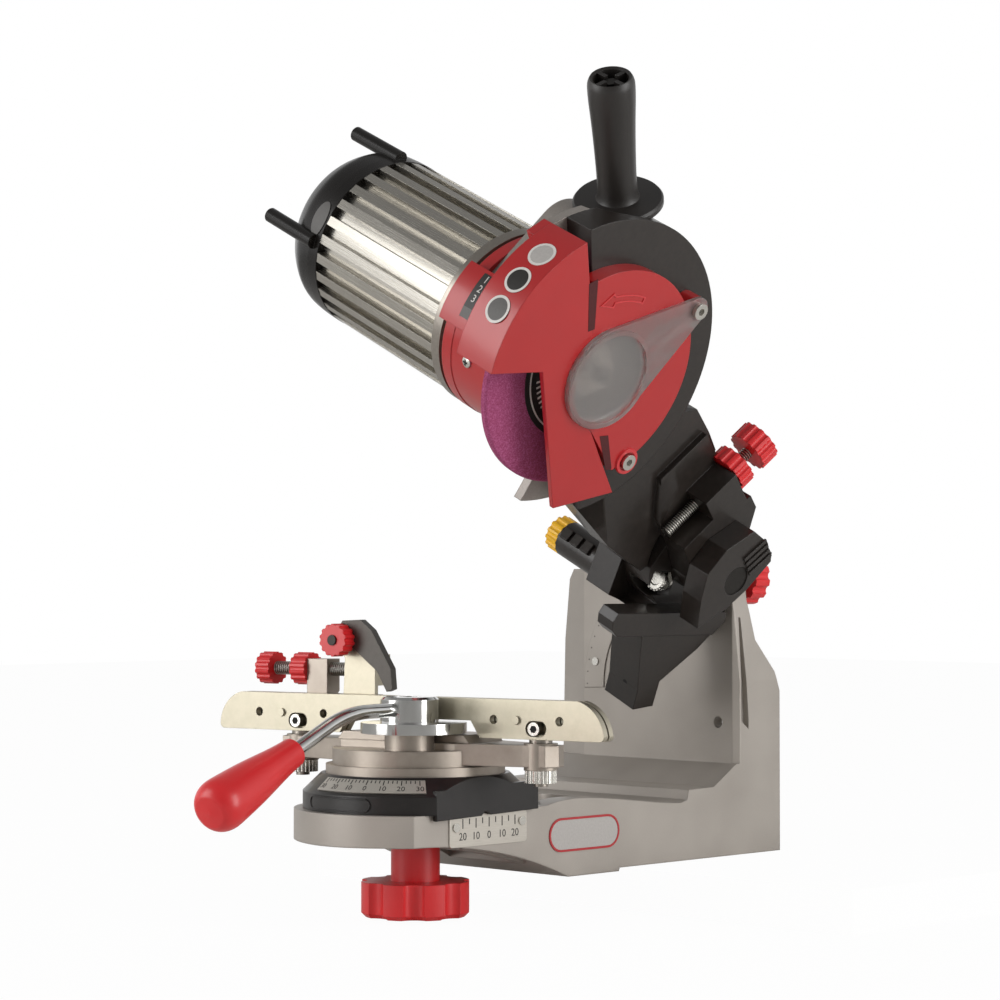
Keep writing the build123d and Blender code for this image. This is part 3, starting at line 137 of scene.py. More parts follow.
def relief(tree, shader, height, depth_mm, strength, soften_mm):
    """Raises height by depth_mm, over edges that are rounded by soften_mm."""
    edge = add(tree, "ShaderNodeBevel", {"samples": 4}, Radius=soften_mm * MM)
    bump = add(
        tree, "ShaderNodeBump", Height=height, Strength=strength, Distance=depth_mm * MM, Normal=edge.outputs[0]
    )
    tree.links.new(bump.outputs[0], shader.inputs["Normal"])


def noise(tree, place, millimetres, detail=2.0, roughness=0.5, **more):
    """Noise whose features are that many millimetres apart."""
    return add(
        tree, "ShaderNodeTexNoise", Vector=place, Scale=per(millimetres), Detail=detail, Roughness=roughness, **more
    ).outputs[0]


def silver_powder_coat():
    """Semi-gloss powder coat on a sand casting: warm silver grey, a fine metal fleck and a faint orange peel."""
    material, tree, shader, place = begin("silver powder coat", 0.42, 0.3, Coat_Weight=0.15, Coat_Roughness=0.25)
    fleck = noise(tree, place, 0.6, 3.0, 0.7)
    cloud = noise(tree, place, 45, 2.0)
    both = add(tree, "ShaderNodeMath", {"operation": "MULTIPLY_ADD"}, i0=fleck, i1=0.35, i2=cloud)
    tint(tree, shader, both.outputs[0], "#8F8880", "#AEA79F")
    peel = noise(tree, place, 2.2, 2.0)
    vary(tree, shader, "Roughness", fleck, 0.36, 0.50)
    relief(tree, shader, peel, 0.05, 0.35, 1.2)
    return material


def grey_casting_paint():
    """The wheel housing's grey coat: the same family of paint, flatter and a little darker."""
    material, tree, shader, place = begin("grey casting paint", 0.42, 0.3, Coat_Weight=0.1)
    grain = noise(tree, place, 1.1, 4.0, 0.6)
    tint(tree, shader, grain, "#87807A", "#A39C95")
    relief(tree, shader, grain, 0.06, 0.4, 0.9)
    return material


def gloss_black_casting(name="gloss black enamel on casting", low="#1D1916", high="#2E2824", peel_mm=3.5):
    """Thick gloss black enamel over a rough casting: deep black, soft ripples in every reflection, rounded edges."""
    material, tree, shader, place = begin(name, 0.3, 0.0, Coat_Weight=0.18, Coat_Roughness=0.12, Specular_IOR_Level=0.4)
    ripple = noise(tree, place, peel_mm, 3.0, 0.55)
    tint(tree, shader, ripple, low, high)
    vary(tree, shader, "Roughness", ripple, 0.26, 0.42)
    relief(tree, shader, ripple, 0.12, 0.35, 1.0)
    return material


def moulded_plastic(name, low, high, roughness, grain_mm=0.5, depth_mm=0.01, soften_mm=0.5, coat=0.0, shine=0.5):
    """Injection-moulded plastic: even colour, a fine spark-eroded grain and soft edges."""
    material, tree, shader, place = begin(
        name, roughness, 0.0, Coat_Weight=coat, Coat_Roughness=0.12, Specular_IOR_Level=shine
    )
    grain = noise(tree, place, grain_mm, 3.0, 0.6)
    flow = noise(tree, place, 28, 1.0)
    tint(tree, shader, flow, low, high)
    vary(tree, shader, "Roughness", grain, roughness - 0.05, roughness + 0.07)
    relief(tree, shader, grain, depth_mm, 0.3, soften_mm)
    return material


def bright_zinc():
    """Clear-passivated zinc on pressed steel: pale, a little yellow in clouds, with fine rolling lines."""
    material, tree, shader, place = begin("bright zinc plate", 0.3, 0.85)
    cloud = noise(tree, place, 9, 4.0, 0.65)
    tint(tree, shader, cloud, "#A09A88", "#C2BBA9")
    turned = add(
        tree, "ShaderNodeMapping", {"vector_type": "TEXTURE"}, Vector=place, Rotation=(0, 0, VISE_TURN),
        Scale=(50, 1, 1),
    )
    lines = noise(tree, turned.outputs[0], 0.8, 3.0, 0.7)
    vary(tree, shader, "Roughness", cloud, 0.30, 0.44)
    relief(tree, shader, lines, 0.02, 0.25, 0.35)
    return material


def plated_hardware():
    """Bright plated screws, nuts and pins: sharp pale highlights with fine turning marks."""
    material, tree, shader, place = begin("plated steel hardware", 0.22, 1.0)
    mark = noise(tree, place, 0.35, 3.0, 0.7)
    tint(tree, shader, mark, "#B9B6AE", "#DAD8D2")
    vary(tree, shader, "Roughness", mark, 0.16, 0.32)
    relief(tree, shader, mark, 0.01, 0.3, 0.25)
    return material


def polished_chrome():
    """Chrome over a bent steel rod: mirror-bright with hardly a ripple."""
    material, tree, shader, place = begin("polished chrome", 0.09, 1.0)
    haze = noise(tree, place, 6, 2.0)
    tint(tree, shader, haze, "#C6C6C4", "#D8D8D6")
    vary(tree, shader, "Roughness", haze, 0.07, 0.15)
    relief(tree, shader, haze, 0.02, 0.15, 0.3)
    return material


def raw_cast_aluminium():
    """Bare die-cast aluminium, tumbled: warm grey, cloudy, with a soft satin skin."""
    material, tree, shader, place = begin("raw cast aluminium", 0.38, 0.8)
    cloud = noise(tree, place, 14, 5.0, 0.6)
    tint(tree, shader, cloud, "#8D8379", "#B8AEA3")
    skin = noise(tree, place, 0.9, 4.0, 0.65)
    vary(tree, shader, "Roughness", cloud, 0.32, 0.48)
    relief(tree, shader, skin, 0.05, 0.4, 0.8)
    return material


def turned_aluminium():
    """Lathe-turned aluminium round the motor: satin grey with rings round the shaft."""
    material, tree, shader, place = begin("turned aluminium", 0.3, 0.9)
    grain = noise(tree, place, 1.6, 4.0, 0.6)
    tint(tree, shader, grain, "#8A837B", "#ABA49B")
    relief(tree, shader, grain, 0.02, 0.3, 0.6)
    return material


def extruded_fins():
    """Bright-dipped aluminium extrusion: silver-white fins with die lines along the shaft."""
    material, tree, shader, place = begin("bright extruded aluminium", 0.24, 0.95)
    along = add(
        tree, "ShaderNodeMapping", {"vector_type": "TEXTURE"}, Vector=place, Rotation=(0, LEAN, 0), Scale=(50, 1, 1)
    )
    lines = noise(tree, along.outputs[0], 0.5, 3.0, 0.7)
    tint(tree, shader, lines, "#A29E96", "#C5C1B8")
    vary(tree, shader, "Roughness", lines, 0.18, 0.34)
    relief(tree, shader, lines, 0.015, 0.3, 0.3)
    return material


def blacked_steel(name="oil-blacked steel", low="#23211F", high="#3B3835"):
    """Hardened steel, oil blacked: dark brown-grey with a dull metal shine."""
    material, tree, shader, place = begin(name, 0.36, 0.75)
    stain = noise(tree, place, 5, 4.0, 0.6)
    tint(tree, shader, stain, low, high)
    vary(tree, shader, "Roughness", stain, 0.28, 0.5)
    relief(tree, shader, stain, 0.02, 0.3, 0.35)
    return material


def laminations():
    """Punched motor laminations: dull iron in thin sheets stacked along the shaft."""
    material, tree, shader, place = begin("motor laminations", 0.6, 0.6)
    along = add(tree, "ShaderNodeMapping", {"vector_type": "TEXTURE"}, Vector=place, Rotation=(0, LEAN, 0))
    sheets = add(
        tree, "ShaderNodeTexWave", {"bands_direction": "X"}, Vector=along.outputs[0], Scale=per(20), Distortion=0.5
    ).outputs[1]
    tint(tree, shader, sheets, "#2B2724", "#4A4540")
    relief(tree, shader, sheets, 0.1, 0.4, 0.3)
    return material


def vitrified_abrasive():
    """Vitrified aluminium oxide, violet pink: open grains of about half a millimetre, matt, with a faint sparkle."""
    material, tree, shader, place = begin("violet vitrified abrasive", 0.85, 0.0, Specular_IOR_Level=0.3)
    # the grit is about 0.3 mm; it is drawn at 0.9 mm so that it shows
    grit = add(tree, "ShaderNodeTexVoronoi", Vector=place, Scale=per(0.9)).outputs[0]
    cloud = noise(tree, place, 2.5, 4.0, 0.7)
    both = add(tree, "ShaderNodeMath", {"operation": "MULTIPLY"}, i0=grit, i1=cloud)
    wide = add(tree, "ShaderNodeMapRange", i0=both.outputs[0], i1=0.05, i2=0.45).outputs[0]
    tint(tree, shader, wide, "#8A3558", "#B05A86")
    relief(tree, shader, grit, 0.25, 0.6, 0.4)
    return material


def blotter_paper():
    """The wheel's blotter: black printed paper, soft and slightly fibrous."""
    material, tree, shader, place = begin("black blotter paper", 0.7)
    fibre = noise(tree, place, 0.8, 5.0, 0.7)
    tint(tree, shader, fibre, "#12110F", "#23211F")
    relief(tree, shader, fibre, 0.03, 0.3, 0.2)
    return material


def frosted_window():
    """Clear moulded polycarbonate with a frosted inner face: milky grey, see-through over what lies close."""
    material, tree, shader, place = begin(
        "frosted clear polycarbonate", 0.3, 0.0, IOR=1.5, Transmission_Weight=0.88, Coat_Weight=0.4, Coat_Roughness=0.05
    )
    frost = noise(tree, place, 0.7, 3.0, 0.6)
    tint(tree, shader, frost, "#D9D3CF", "#F0EBE8")
    vary(tree, shader, "Roughness", frost, 0.26, 0.38)
    relief(tree, shader, frost, 0.01, 0.2, 0.5)
    return material


def printed_scale():
    """Anodised aluminium scale: flat silver with a straight brushed grain."""
    material, tree, shader, place = begin("anodised aluminium scale", 0.34, 0.7)
    along = add(tree, "ShaderNodeMapping", Vector=place, Scale=(1, 0.05, 1))
    lines = noise(tree, along.outputs[0], 0.4, 3.0, 0.6)
    tint(tree, shader, lines, "#B4AEA4", "#CFCAC1")
    relief(tree, shader, lines, 0.01, 0.25, 0.2)
    return material


def threaded_steel(name, axis, pitch_mm):
    """Zinc-plated threaded rod: painted highlights on the crests and painted shade in the roots, one after another
    along the rod.
    """
    material, tree, shader, place = begin(name, 0.28, 1.0)
    along = add(tree, "ShaderNodeVectorMath", {"operation": "DOT_PRODUCT"}, i0=place, i1=tuple(axis)).outputs[1]
    phase = add(tree, "ShaderNodeMath", {"operation": "MULTIPLY"}, i0=along, i1=2 * math.pi * per(pitch_mm))
    crest = add(tree, "ShaderNodeMath", {"operation": "SINE"}, i0=phase.outputs[0])
    height = add(tree, "ShaderNodeMapRange", i0=crest.outputs[0], i1=-1.0, i2=1.0).outputs[0]
    # painted light: dark at the thread's roots, bright at its crests
    tint(tree, shader, height, "#4A4742", "#D2CFC8")
    relief(tree, shader, height, 0.5, 0.9, 0.1)
    return material


def ink(name, low, high, roughness=0.45):
    """Screen-printed ink, and flat sheets of painted shade: flat colour, a touch uneven."""
    material, tree, shader, place = begin(name, roughness)
    patch = noise(tree, place, 1.2, 2.0)
    tint(tree, shader, patch, low, high)
    relief(tree, shader, patch, 0.005, 0.2, 0.05)
    return material


SILVER = silver_powder_coat()
GREY = grey_casting_paint()
BLACK_CAST = gloss_black_casting()
BLACK_RING = gloss_black_casting("gloss black enamel on vise ring", "#120F0E", "#1E1A18", 6.0)
BLACK_PLASTIC = moulded_plastic("gloss black nylon", "#100E0C", "#1A1715", 0.26, 0.6, 0.01, 0.6, 0.06, 0.3)
HANDLE_PLASTIC = moulded_plastic("satin black nylon", "#1B1816", "#272320", 0.42, 0.45, 0.02, 0.5)
RED_GUARD = moulded_plastic("gloss red ABS", "#A8181A", "#B41E20", 0.3, 0.8, 0.01, 0.8, 0.25)
RED_KNOB = moulded_plastic("satin red nylon", "#CC1C20", "#DC272B", 0.36, 0.5, 0.02, 0.5, 0.1)
YELLOW_KNOB = moulded_plastic("satin yellow nylon", "#F2B50F", "#FFC828", 0.36, 0.5, 0.02, 0.5, 0.1)
ZINC = bright_zinc()
PLATED = plated_hardware()
CHROME = polished_chrome()
RAW_ALU = raw_cast_aluminium()
TURNED_ALU = turned_aluminium()
FINS = extruded_fins()
DARK_STEEL = blacked_steel()
LEAF_STEEL = blacked_steel("blued spring steel", "#3A3835", "#57534F")
LAMINATED = laminations()
ABRASIVE = vitrified_abrasive()
BLOTTER = blotter_paper()
WINDOW = frosted_window()
SCALE = printed_scale()
BLACK_INK = ink("black ink", "#1A1816", "#26231F")
WHITE_INK = ink("white ink", "#CFCBC6", "#E2DFDA")
GREY_INK = ink("grey label film", "#4A4846", "#5A5855")
SILVER_INK = ink("silver label film", "#A8A4A0", "#BDB9B5", 0.35)
RED_INK = ink("red ink", "#A8242A", "#B52C31")
# painted shade: flat dark sheets laid where holes, slots and recesses show only shade
SHADOW = ink("painted recess shade", "#0B0A0A", "#161413", 0.8)
RED_SHADOW = ink("painted red recess shade", "#3E0F11", "#521719", 0.8)
# painted highlight: the covers' red plastic made lighter for the raised arrow and boss
RED_RAISED_LIT = moulded_plastic("raised red ABS painted lighter", "#C2282C", "#CE3136", 0.3, 0.8, 0.01, 0.3, 0.3)
STOP_AXIS = BACK * math.cos(math.radians(49.3)) + UP * math.sin(math.radians(49.3))
STOP_THREAD = threaded_steel("threaded rod of the depth stop", STOP_AXIS, 1.5)
FEED_THREAD = threaded_steel("threaded rod of the chain stop", VISE_U, 1.5)

FINISHES = {
    SILVER: ["base_casting", "tilt_scale_plate"],
    GREY: ["wheel_housing"],
    BLACK_CAST: ["tilt_bracket", "arm_casting"],
    BLACK_RING: ["vise_base_ring"],
    BLACK_PLASTIC: ["motor_end_cap", "switch_box", "switch_rocker", "cord_gland", "cooling_fan"],
    HANDLE_PLASTIC: ["handle_grip"],
    RED_GUARD: ["front_cover", "side_cover", "motor_collar"],
    RED_KNOB: [
        "tilt_lock_knob", "depth_stop_knob", "depth_stop_lock_nut", "vise_lock_knob", "lever_grip", "stop_knob",
        "stop_lock_nut", "pawl_knob",
    ],
    YELLOW_KNOB: ["spring_adjuster_knob"],
    ZINC: ["rear_rail", "front_rail", "pawl_bracket"],
    PLATED: [
        "rail_screws", "post_nut_left", "post_nut_right", "cover_screws", "scale_rivets", "tilt_clamp_bolt",
        "wheel_nut", "wheel_flange",
    ],
    STOP_THREAD: ["depth_stop_screw"],
    FEED_THREAD: ["stop_screw"],
    CHROME: ["lever_rod", "clamp_lever_hub"],
    RAW_ALU: ["vise_body", "stop_block"],
    TURNED_ALU: ["motor_flange", "rail_posts"],
    FINS: ["motor_shell"],
    DARK_STEEL: [
        "hinge_pin", "return_spring", "spring_adjuster_screw", "pawl_pin", "spindle_shaft", "spindle_bearings",
        "handle_stud", "vise_clamp_bolt",
    ],
    LEAF_STEEL: ["chain_pawl"],
    LAMINATED: ["stator", "rotor_core"],
    ABRASIVE: ["grinding_wheel"],
    BLOTTER: ["wheel_label"],
    WINDOW: ["window_lens"],
    SCALE: ["side_scale_plate", "angle_scale_plate"],
}
for finish, names in FINISHES.items():
    for name in names:
        slots = NODES[name].material_slots
        if not slots:
            NODES[name].data.materials.append(finish)
        for slot in slots:
            slot.material = finish

# ---------------------------------------------------------------- how the small trim is drawn


def settle(name, mesh, body, place=None, bend=None, finish=None, sharp=32):
    """Lays a drawn mesh in its place, by a matrix or by a function of its points, and lets it ride with its body."""
    if place:
        mesh.transform(place)
    if bend:
        for v in mesh.vertices:
            v.co = bend(v.co)
    if finish:
        mesh.materials.clear()
        mesh.materials.append(finish)
    shape = bmesh.new()
    shape.from_mesh(mesh)
    bmesh.ops.remove_doubles(shape, verts=shape.verts, dist=1e-7)
    bmesh.ops.recalc_face_normals(shape, faces=shape.faces)
    for face in shape.faces:
        face.smooth = True
    shape.to_mesh(mesh)
    shape.free()
    mesh.set_sharp_from_angle(angle=math.radians(sharp))
    mesh.name = name
    made = bpy.data.objects.new(name, mesh)
    bpy.context.scene.collection.objects.link(made)
    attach(made, body)
    return made


def hardened(data):
    """Turns a curve, a text or a piece with a modifier into a plain mesh."""
    made = data if isinstance(data, bpy.types.Object) else bpy.data.objects.new("draft", data)
    if made.name not in bpy.context.scene.collection.objects:
        bpy.context.scene.collection.objects.link(made)
    bpy.context.view_layer.update()
    mesh = bpy.data.meshes.new_from_object(made.evaluated_get(bpy.context.evaluated_depsgraph_get()))
    for modifier in list(made.modifiers):
        made.modifiers.remove(modifier)
    bpy.data.objects.remove(made)
    return mesh


def sheet(loops, thick, step=0.0):
    """A flat plate in millimetres: the first loop is its outline, the others its holes; step cuts it to bend."""
    curve = bpy.data.curves.new("outline", "CURVE")
    curve.dimensions = "2D"
    curve.fill_mode = "BOTH"
    curve.extrude = thick / 2 * MM
    for loop in loops:
        spline = curve.splines.new("POLY")
        spline.points.add(len(loop) - 1)
        spline.use_cyclic_u = True
        for point, (x, y) in zip(spline.points, loop):
            point.co = (x * MM, y * MM, 0, 1)
    mesh = hardened(curve)
    shape = bmesh.new()
    shape.from_mesh(mesh)
    bmesh.ops.translate(shape, verts=shape.verts, vec=(0, 0, thick / 2 * MM))
    bmesh.ops.remove_doubles(shape, verts=shape.verts, dist=1e-7)
    for axis in (0, 1) if step else ():
        normal = [1 - axis, axis, 0]
        ends = [v.co[axis] for v in shape.verts]
        at = min(ends) + step * MM
        while at < max(ends) - 1e-5:
            everything = shape.verts[:] + shape.edges[:] + shape.faces[:]
            bmesh.ops.bisect_plane(shape, geom=everything, plane_co=[n * at for n in normal], plane_no=normal)
            at += step * MM
    shape.to_mesh(mesh)
    shape.free()
    return mesh


def words(text, height):
    """Plain raised figures, their middle at the origin."""
    curve = bpy.data.curves.new("figures", "FONT")
    curve.body = text
    curve.size = height * 1.38 * MM
    curve.extrude = 0.06 * MM
    curve.resolution_u = 3
    curve.align_x, curve.align_y = "CENTER", "CENTER"
    return hardened(curve)


def lathe(profile, steps=48):
    """A turned piece from its profile of radius and height in millimetres."""
    shape = bmesh.new()
    rows = []
    for radius, z in profile:
        if radius:
            turn = [2 * math.pi * i / steps for i in range(steps)]
            rows.append([shape.verts.new((radius * math.cos(a) * MM, radius * math.sin(a) * MM, z * MM)) for a in turn])
        else:
            rows.append([shape.verts.new((0, 0, z * MM))] * steps)
    for low, high in zip(rows, rows[1:]):
        for i in range(steps):
            corners = list(dict.fromkeys((low[i], low[i - 1], high[i - 1], high[i])))
            if len(corners) > 2:
                shape.faces.new(corners)
    mesh = bpy.data.meshes.new("turned")
    shape.to_mesh(mesh)
    shape.free()
    return mesh


def stadium(length, width, steps=12):
    """The outline of a bar with round ends, along x."""
    half = (length - width) / 2
    points = []
    for end in (-1, 1):
        for i in range(steps + 1):
            a = math.pi * (0.5 - i / steps if end > 0 else 1.5 - i / steps)
            points.append((end * half + width / 2 * math.cos(a), width / 2 * math.sin(a)))
    return points


def oval(length, width, steps=36):
    """The outline of an oval, or of a circle where both are one size."""
    turn = [2 * math.pi * i / steps for i in range(steps)]
    return [(length / 2 * math.cos(a), width / 2 * math.sin(a)) for a in turn]


def polar(radius, degrees):
    """A point round the origin, in millimetres."""
    return (radius * math.cos(math.radians(degrees)), radius * math.sin(math.radians(degrees)))


def outlined(points, width, thick, step=0.0):
    """A frame of even width that follows the inside of an outline."""
    turns = sum(x * points[i - 1][1] - y * points[i - 1][0] for i, (x, y) in enumerate(points))
    left = -1 if turns > 0 else 1
    inner = []
    for i, (x, y) in enumerate(points):
        before = Vector((x - points[i - 1][0], y - points[i - 1][1])).normalized()
        after = Vector((points[(i + 1) % len(points)][0] - x, points[(i + 1) % len(points)][1] - y)).normalized()
        inward = Vector((-before.y - after.y, before.x + after.x)).normalized() * left
        reach = width / max(inward.dot(Vector((-before.y, before.x)) * left), 0.5)
        inner.append((x + inward.x * reach, y + inward.y * reach))
    return sheet([points, inner], thick, step)


def new_tree(name, sizes):
    """An empty tree of geometry nodes with named inputs, a finish among them, and one output."""
    tree = bpy.data.node_groups.new(name, "GeometryNodeTree")
    for label, kind in sizes:
        tree.interface.new_socket(label, in_out="INPUT", socket_type="NodeSocket" + kind)
    tree.interface.new_socket("Finish", in_out="INPUT", socket_type="NodeSocketMaterial")
    tree.interface.new_socket("Geometry", in_out="OUTPUT", socket_type="NodeSocketGeometry")
    return tree, add(tree, "NodeGroupInput").outputs


def end_tree(tree, given, geometry):
    """Ends a tree: its copies made real, and its finish set."""
    real = add(tree, "GeometryNodeRealizeInstances", i0=geometry)
    done = add(tree, "GeometryNodeSetMaterial", Geometry=real.outputs[0], Material=given["Finish"])
    add(tree, "NodeGroupOutput", i0=done.outputs[0])
    return tree


def bars_round_an_arc():
    """Small bars that point outwards, evenly round an arc about z: ticks of a dial, teeth of a washer."""
    tree, given = new_tree(
        "bars round an arc",
        [("Count", "Int"), ("Radius", "Float"), ("Start", "Float"), ("Sweep", "Float"), ("Size", "Vector")],
    )
    last = add(tree, "ShaderNodeMath", {"operation": "SUBTRACT"}, i0=given["Count"], i1=1.0)
    share = add(
        tree, "ShaderNodeMath", {"operation": "DIVIDE"}, i0=add(tree, "GeometryNodeInputIndex").outputs[0],
        i1=last.outputs[0],
    )
    turn = add(
        tree, "ShaderNodeMath", {"operation": "MULTIPLY_ADD"}, i0=share.outputs[0], i1=given["Sweep"],
        i2=given["Start"],
    ).outputs[0]
    across = add(tree, "ShaderNodeMath", {"operation": "COSINE"}, i0=turn).outputs[0]
    up = add(tree, "ShaderNodeMath", {"operation": "SINE"}, i0=turn).outputs[0]
    outward = add(tree, "ShaderNodeCombineXYZ", i0=across, i1=up).outputs[0]
    at = add(tree, "ShaderNodeVectorMath", {"operation": "SCALE"}, Vector=outward, Scale=given["Radius"]).outputs[0]
    points = add(tree, "GeometryNodePoints", Count=given["Count"], Position=at).outputs[0]
    bar = add(tree, "GeometryNodeMeshCube", Size=given["Size"]).outputs[0]
    turned = add(tree, "ShaderNodeCombineXYZ", i2=turn).outputs[0]
    bars = add(tree, "GeometryNodeInstanceOnPoints", Points=points, Instance=bar, Rotation=turned)
    return end_tree(tree, given, bars.outputs[0])


def bars_in_a_row():
    """Small bars side by side along x: ticks of a straight scale, ribs of a casting."""
    tree, given = new_tree("bars in a row", [("Count", "Int"), ("Pitch", "Float"), ("Size", "Vector")])
    along = add(
        tree, "ShaderNodeMath", {"operation": "MULTIPLY"}, i0=add(tree, "GeometryNodeInputIndex").outputs[0],
        i1=given["Pitch"],
    )
    at = add(tree, "ShaderNodeCombineXYZ", i0=along.outputs[0]).outputs[0]
    points = add(tree, "GeometryNodePoints", Count=given["Count"], Position=at).outputs[0]
    bar = add(tree, "GeometryNodeMeshCube", Size=given["Size"]).outputs[0]
    bars = add(tree, "GeometryNodeInstanceOnPoints", Points=points, Instance=bar)
    return end_tree(tree, given, bars.outputs[0])


def grown(tree, **sizes):
    """Runs a tree with these sizes and keeps what it makes as a plain mesh."""
    made = bpy.data.objects.new("draft", bpy.data.meshes.new("draft"))
    modifier = made.modifiers.new("tree", "NODES")
    modifier.node_group = tree
    for item in tree.interface.items_tree:
        if item.in_out == "INPUT":
            modifier[item.identifier] = sizes[item.name]
    return hardened(made)


ARC = bars_round_an_arc()
ROW = bars_in_a_row()


def arc_of_bars(count, radius, start, sweep, size, finish):
    """Bars round an arc, from millimetres and degrees."""
    return grown(
        ARC, Count=count, Radius=radius * MM, Start=math.radians(start), Sweep=math.radians(sweep),
        Size=[v * MM for v in size], Finish=finish,
    )


def row_of_bars(count, pitch, size, finish):
    """Bars in a row, from millimetres."""
    return grown(ROW, Count=count, Pitch=pitch * MM, Size=[v * MM for v in size], Finish=finish)


def round_wheel(radius, degrees, s):
    """Bends a flat piece round the wheel's axis: its x runs along the shaft, its y up the operator's side."""
    def bend(p):
        return on_wheel(radius + p.z / MM, degrees - math.degrees(p.y / MM / radius), s + p.x / MM)
    return bend


def head_seat(s, y, h, turn=0.0):
    """The place of a flat piece on a face across the shaft: its x runs back, turned by some degrees."""
    a = math.radians(turn)
    return seat(head(s, y, h), BACK * math.cos(a) + UP * math.sin(a), ACROSS)


def wheel_seat(s, x=0.0, y=0.0, turn=0.0):
    """The same, measured from the wheel's centre."""
    return head_seat(s, WHEEL_Y + x, WHEEL_H + y, turn)


# ---------------------------------------------------------------- red covers: bare discs, slots, arrow, counter, screw

# three round discs, left bare; they follow the band's curve
for number, (degrees, s, band_r, face, ring) in enumerate((
    (137.3, 6.6, 91.95, SILVER_INK, WHITE_INK), (149.4, 6.7, 91.9, BLACK_INK, WHITE_INK),
    (161.3, 6.9, 91.6, GREY_INK, WHITE_INK),
), 1):
    settle(f"bare_disc_{number}", lathe([(0, -0.4), (8, -0.4), (8, 0.25), (5.3, 0.25), (2.6, 0.25), (0, 0.25)]), "arm",
           bend=round_wheel(band_r, degrees, s), finish=face)
    settle(f"bare_disc_{number}_ring", lathe([(6.5, 0.1), (8.0, 0.1), (8.0, 0.33), (6.5, 0.33), (6.5, 0.1)]), "arm",
           bend=round_wheel(band_r, degrees, s), finish=ring)

# the slots between the front cover and the side cover, thin sheets of painted dark red shade
for name, corners in (
    ("cover_slot_upper", ((-39.0, 52.9), (-33.4, 56.3), (-22.6, 27.6), (-27.0, 25.8))),
    ("cover_slot_lower", ((11.4, -35.4), (18.2, -34.6), (30.6, -54.8), (26.4, -56.2))),
):
    settle(name, sheet([corners], 0.25), "arm", place=wheel_seat(19.9), finish=RED_SHADOW)

# the turning direction, an arrow in outline that stands a little proud of the cover, its lighter red a painted
# highlight
tail = [(47.6 + side * 2.2, a) for side, angles in ((1, range(80, 110, 3)), (-1, range(107, 79, -3))) for a in angles]
arrow = [polar(r, a) for r, a in tail[:10]] + [polar(52.2, 109), polar(47.6, 121), polar(43.0, 109)]
arrow += [polar(r, a) for r, a in tail[10:]]
settle("turning_arrow", outlined(arrow, 0.9, 0.5), "arm", place=wheel_seat(19.95), finish=RED_RAISED_LIT)


# the counter strip in the collar's pocket: black above, grey below, and three plain figures
for name, low, high, face in (("counter_strip", -11.9, 9.5, BLACK_INK), ("counter_foot", -18.0, -11.9, GREY_INK)):
    settle(name, sheet([((-4.4, low), (4.4, low), (4.4, high), (-4.4, high))], 0.5, 2.0), "arm",
           bend=round_wheel(62.0, 157, -38.8), finish=face)
for place, figure in ((6.2, "1"), (0.0, "2"), (-6.2, "3")):
    settle(f"counter_figure_{figure}", words(figure, 4.6), "arm",
           bend=round_wheel(62.62, 157 - math.degrees(place / 62), -38.8), finish=WHITE_INK)


def cross_screw(name, place, radius, body):
    """A pan head screw with a cross recess: the head is turned, the recess is a dark cross of painted shade just above
    its crown.
    """
    head_profile = [(0, 0), (radius, 0), (radius, 0.5), (radius * 0.9, 1.3), (radius * 0.62, 1.8), (0, 2.0)]
    settle(name, lathe(head_profile, 32), body, place=place, finish=PLATED)
    arm, half = radius * 0.52, radius * 0.13
    cross = [(arm, -half), (arm, half), (half, half), (half, arm), (-half, arm), (-half, half), (-arm, half),
             (-arm, -half), (-half, -half), (-half, -arm), (half, -arm), (half, -half)]
    settle(name + "_recess", sheet([cross], 0.25), body, place=place @ Matrix.Translation((0, 0, 1.82 * MM)),
           finish=SHADOW)


outward = BACK * math.cos(math.radians(-161.5)) + UP * math.sin(math.radians(-161.5))
cross_screw("sleeve_screw", seat(on_wheel(54.4, -161.5, -35.5), ACROSS, outward), 3.6, "arm")

# round boss under the lower cover screw, its lighter red a painted highlight
settle("cover_screw_boss", lathe([(5.4, 0), (8.2, 0), (7.8, 1.2), (5.8, 1.2), (5.4, 0)], 40), "arm",
       place=wheel_seat(20, 40.5, -49.7), finish=RED_RAISED_LIT)

# ---------------------------------------------------------------- arm: its side is open beside the depth stop

STOP_TIP = head(0, -51, 113.5)
STOP_SIDE = ACROSS.cross(STOP_AXIS)  # from the rod towards the wheel


def block(low, high):
    """A box in millimetres beside the stop's rod: along it, towards the wheel, and along the shaft."""
    shape = bmesh.new()
    bmesh.ops.create_cube(shape, size=1)
    for v in shape.verts:
        along, side, s = (a + (b - a) * (c + 0.5) for a, b, c in zip(low, high, v.co))
        v.co = STOP_TIP + (STOP_AXIS * along + STOP_SIDE * side + ACROSS * s) * MM
    shape.normal_update()  # the corners have moved since the cube was made
    bmesh.ops.recalc_face_normals(shape, faces=shape.faces)
    mesh = bpy.data.meshes.new("block")
    shape.to_mesh(mesh)
    shape.free()
    return mesh


def cut_from(first, blocks):
    """A copy of the first mesh with the blocks taken from it."""
    whole = bpy.data.objects.new("whole", first)
    bpy.context.scene.collection.objects.link(whole)
    tools = []
    for mesh in blocks:
        tool = bpy.data.objects.new("tool", mesh)
        bpy.context.scene.collection.objects.link(tool)
        cut = whole.modifiers.new("cut", "BOOLEAN")
        cut.operation, cut.solver, cut.object = "DIFFERENCE", "EXACT", tool
        tools.append(tool)
    mesh = hardened(whole)
    for tool in tools:
        bpy.data.objects.remove(tool)
    return mesh


def welded(node):
    """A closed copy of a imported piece's mesh."""
    shape = bmesh.new()
    shape.from_mesh(NODES[node].data)
    bmesh.ops.remove_doubles(shape, verts=shape.verts, dist=1e-6)
    mesh = bpy.data.meshes.new(node + "_copy")
    shape.to_mesh(mesh)
    shape.free()
    return mesh


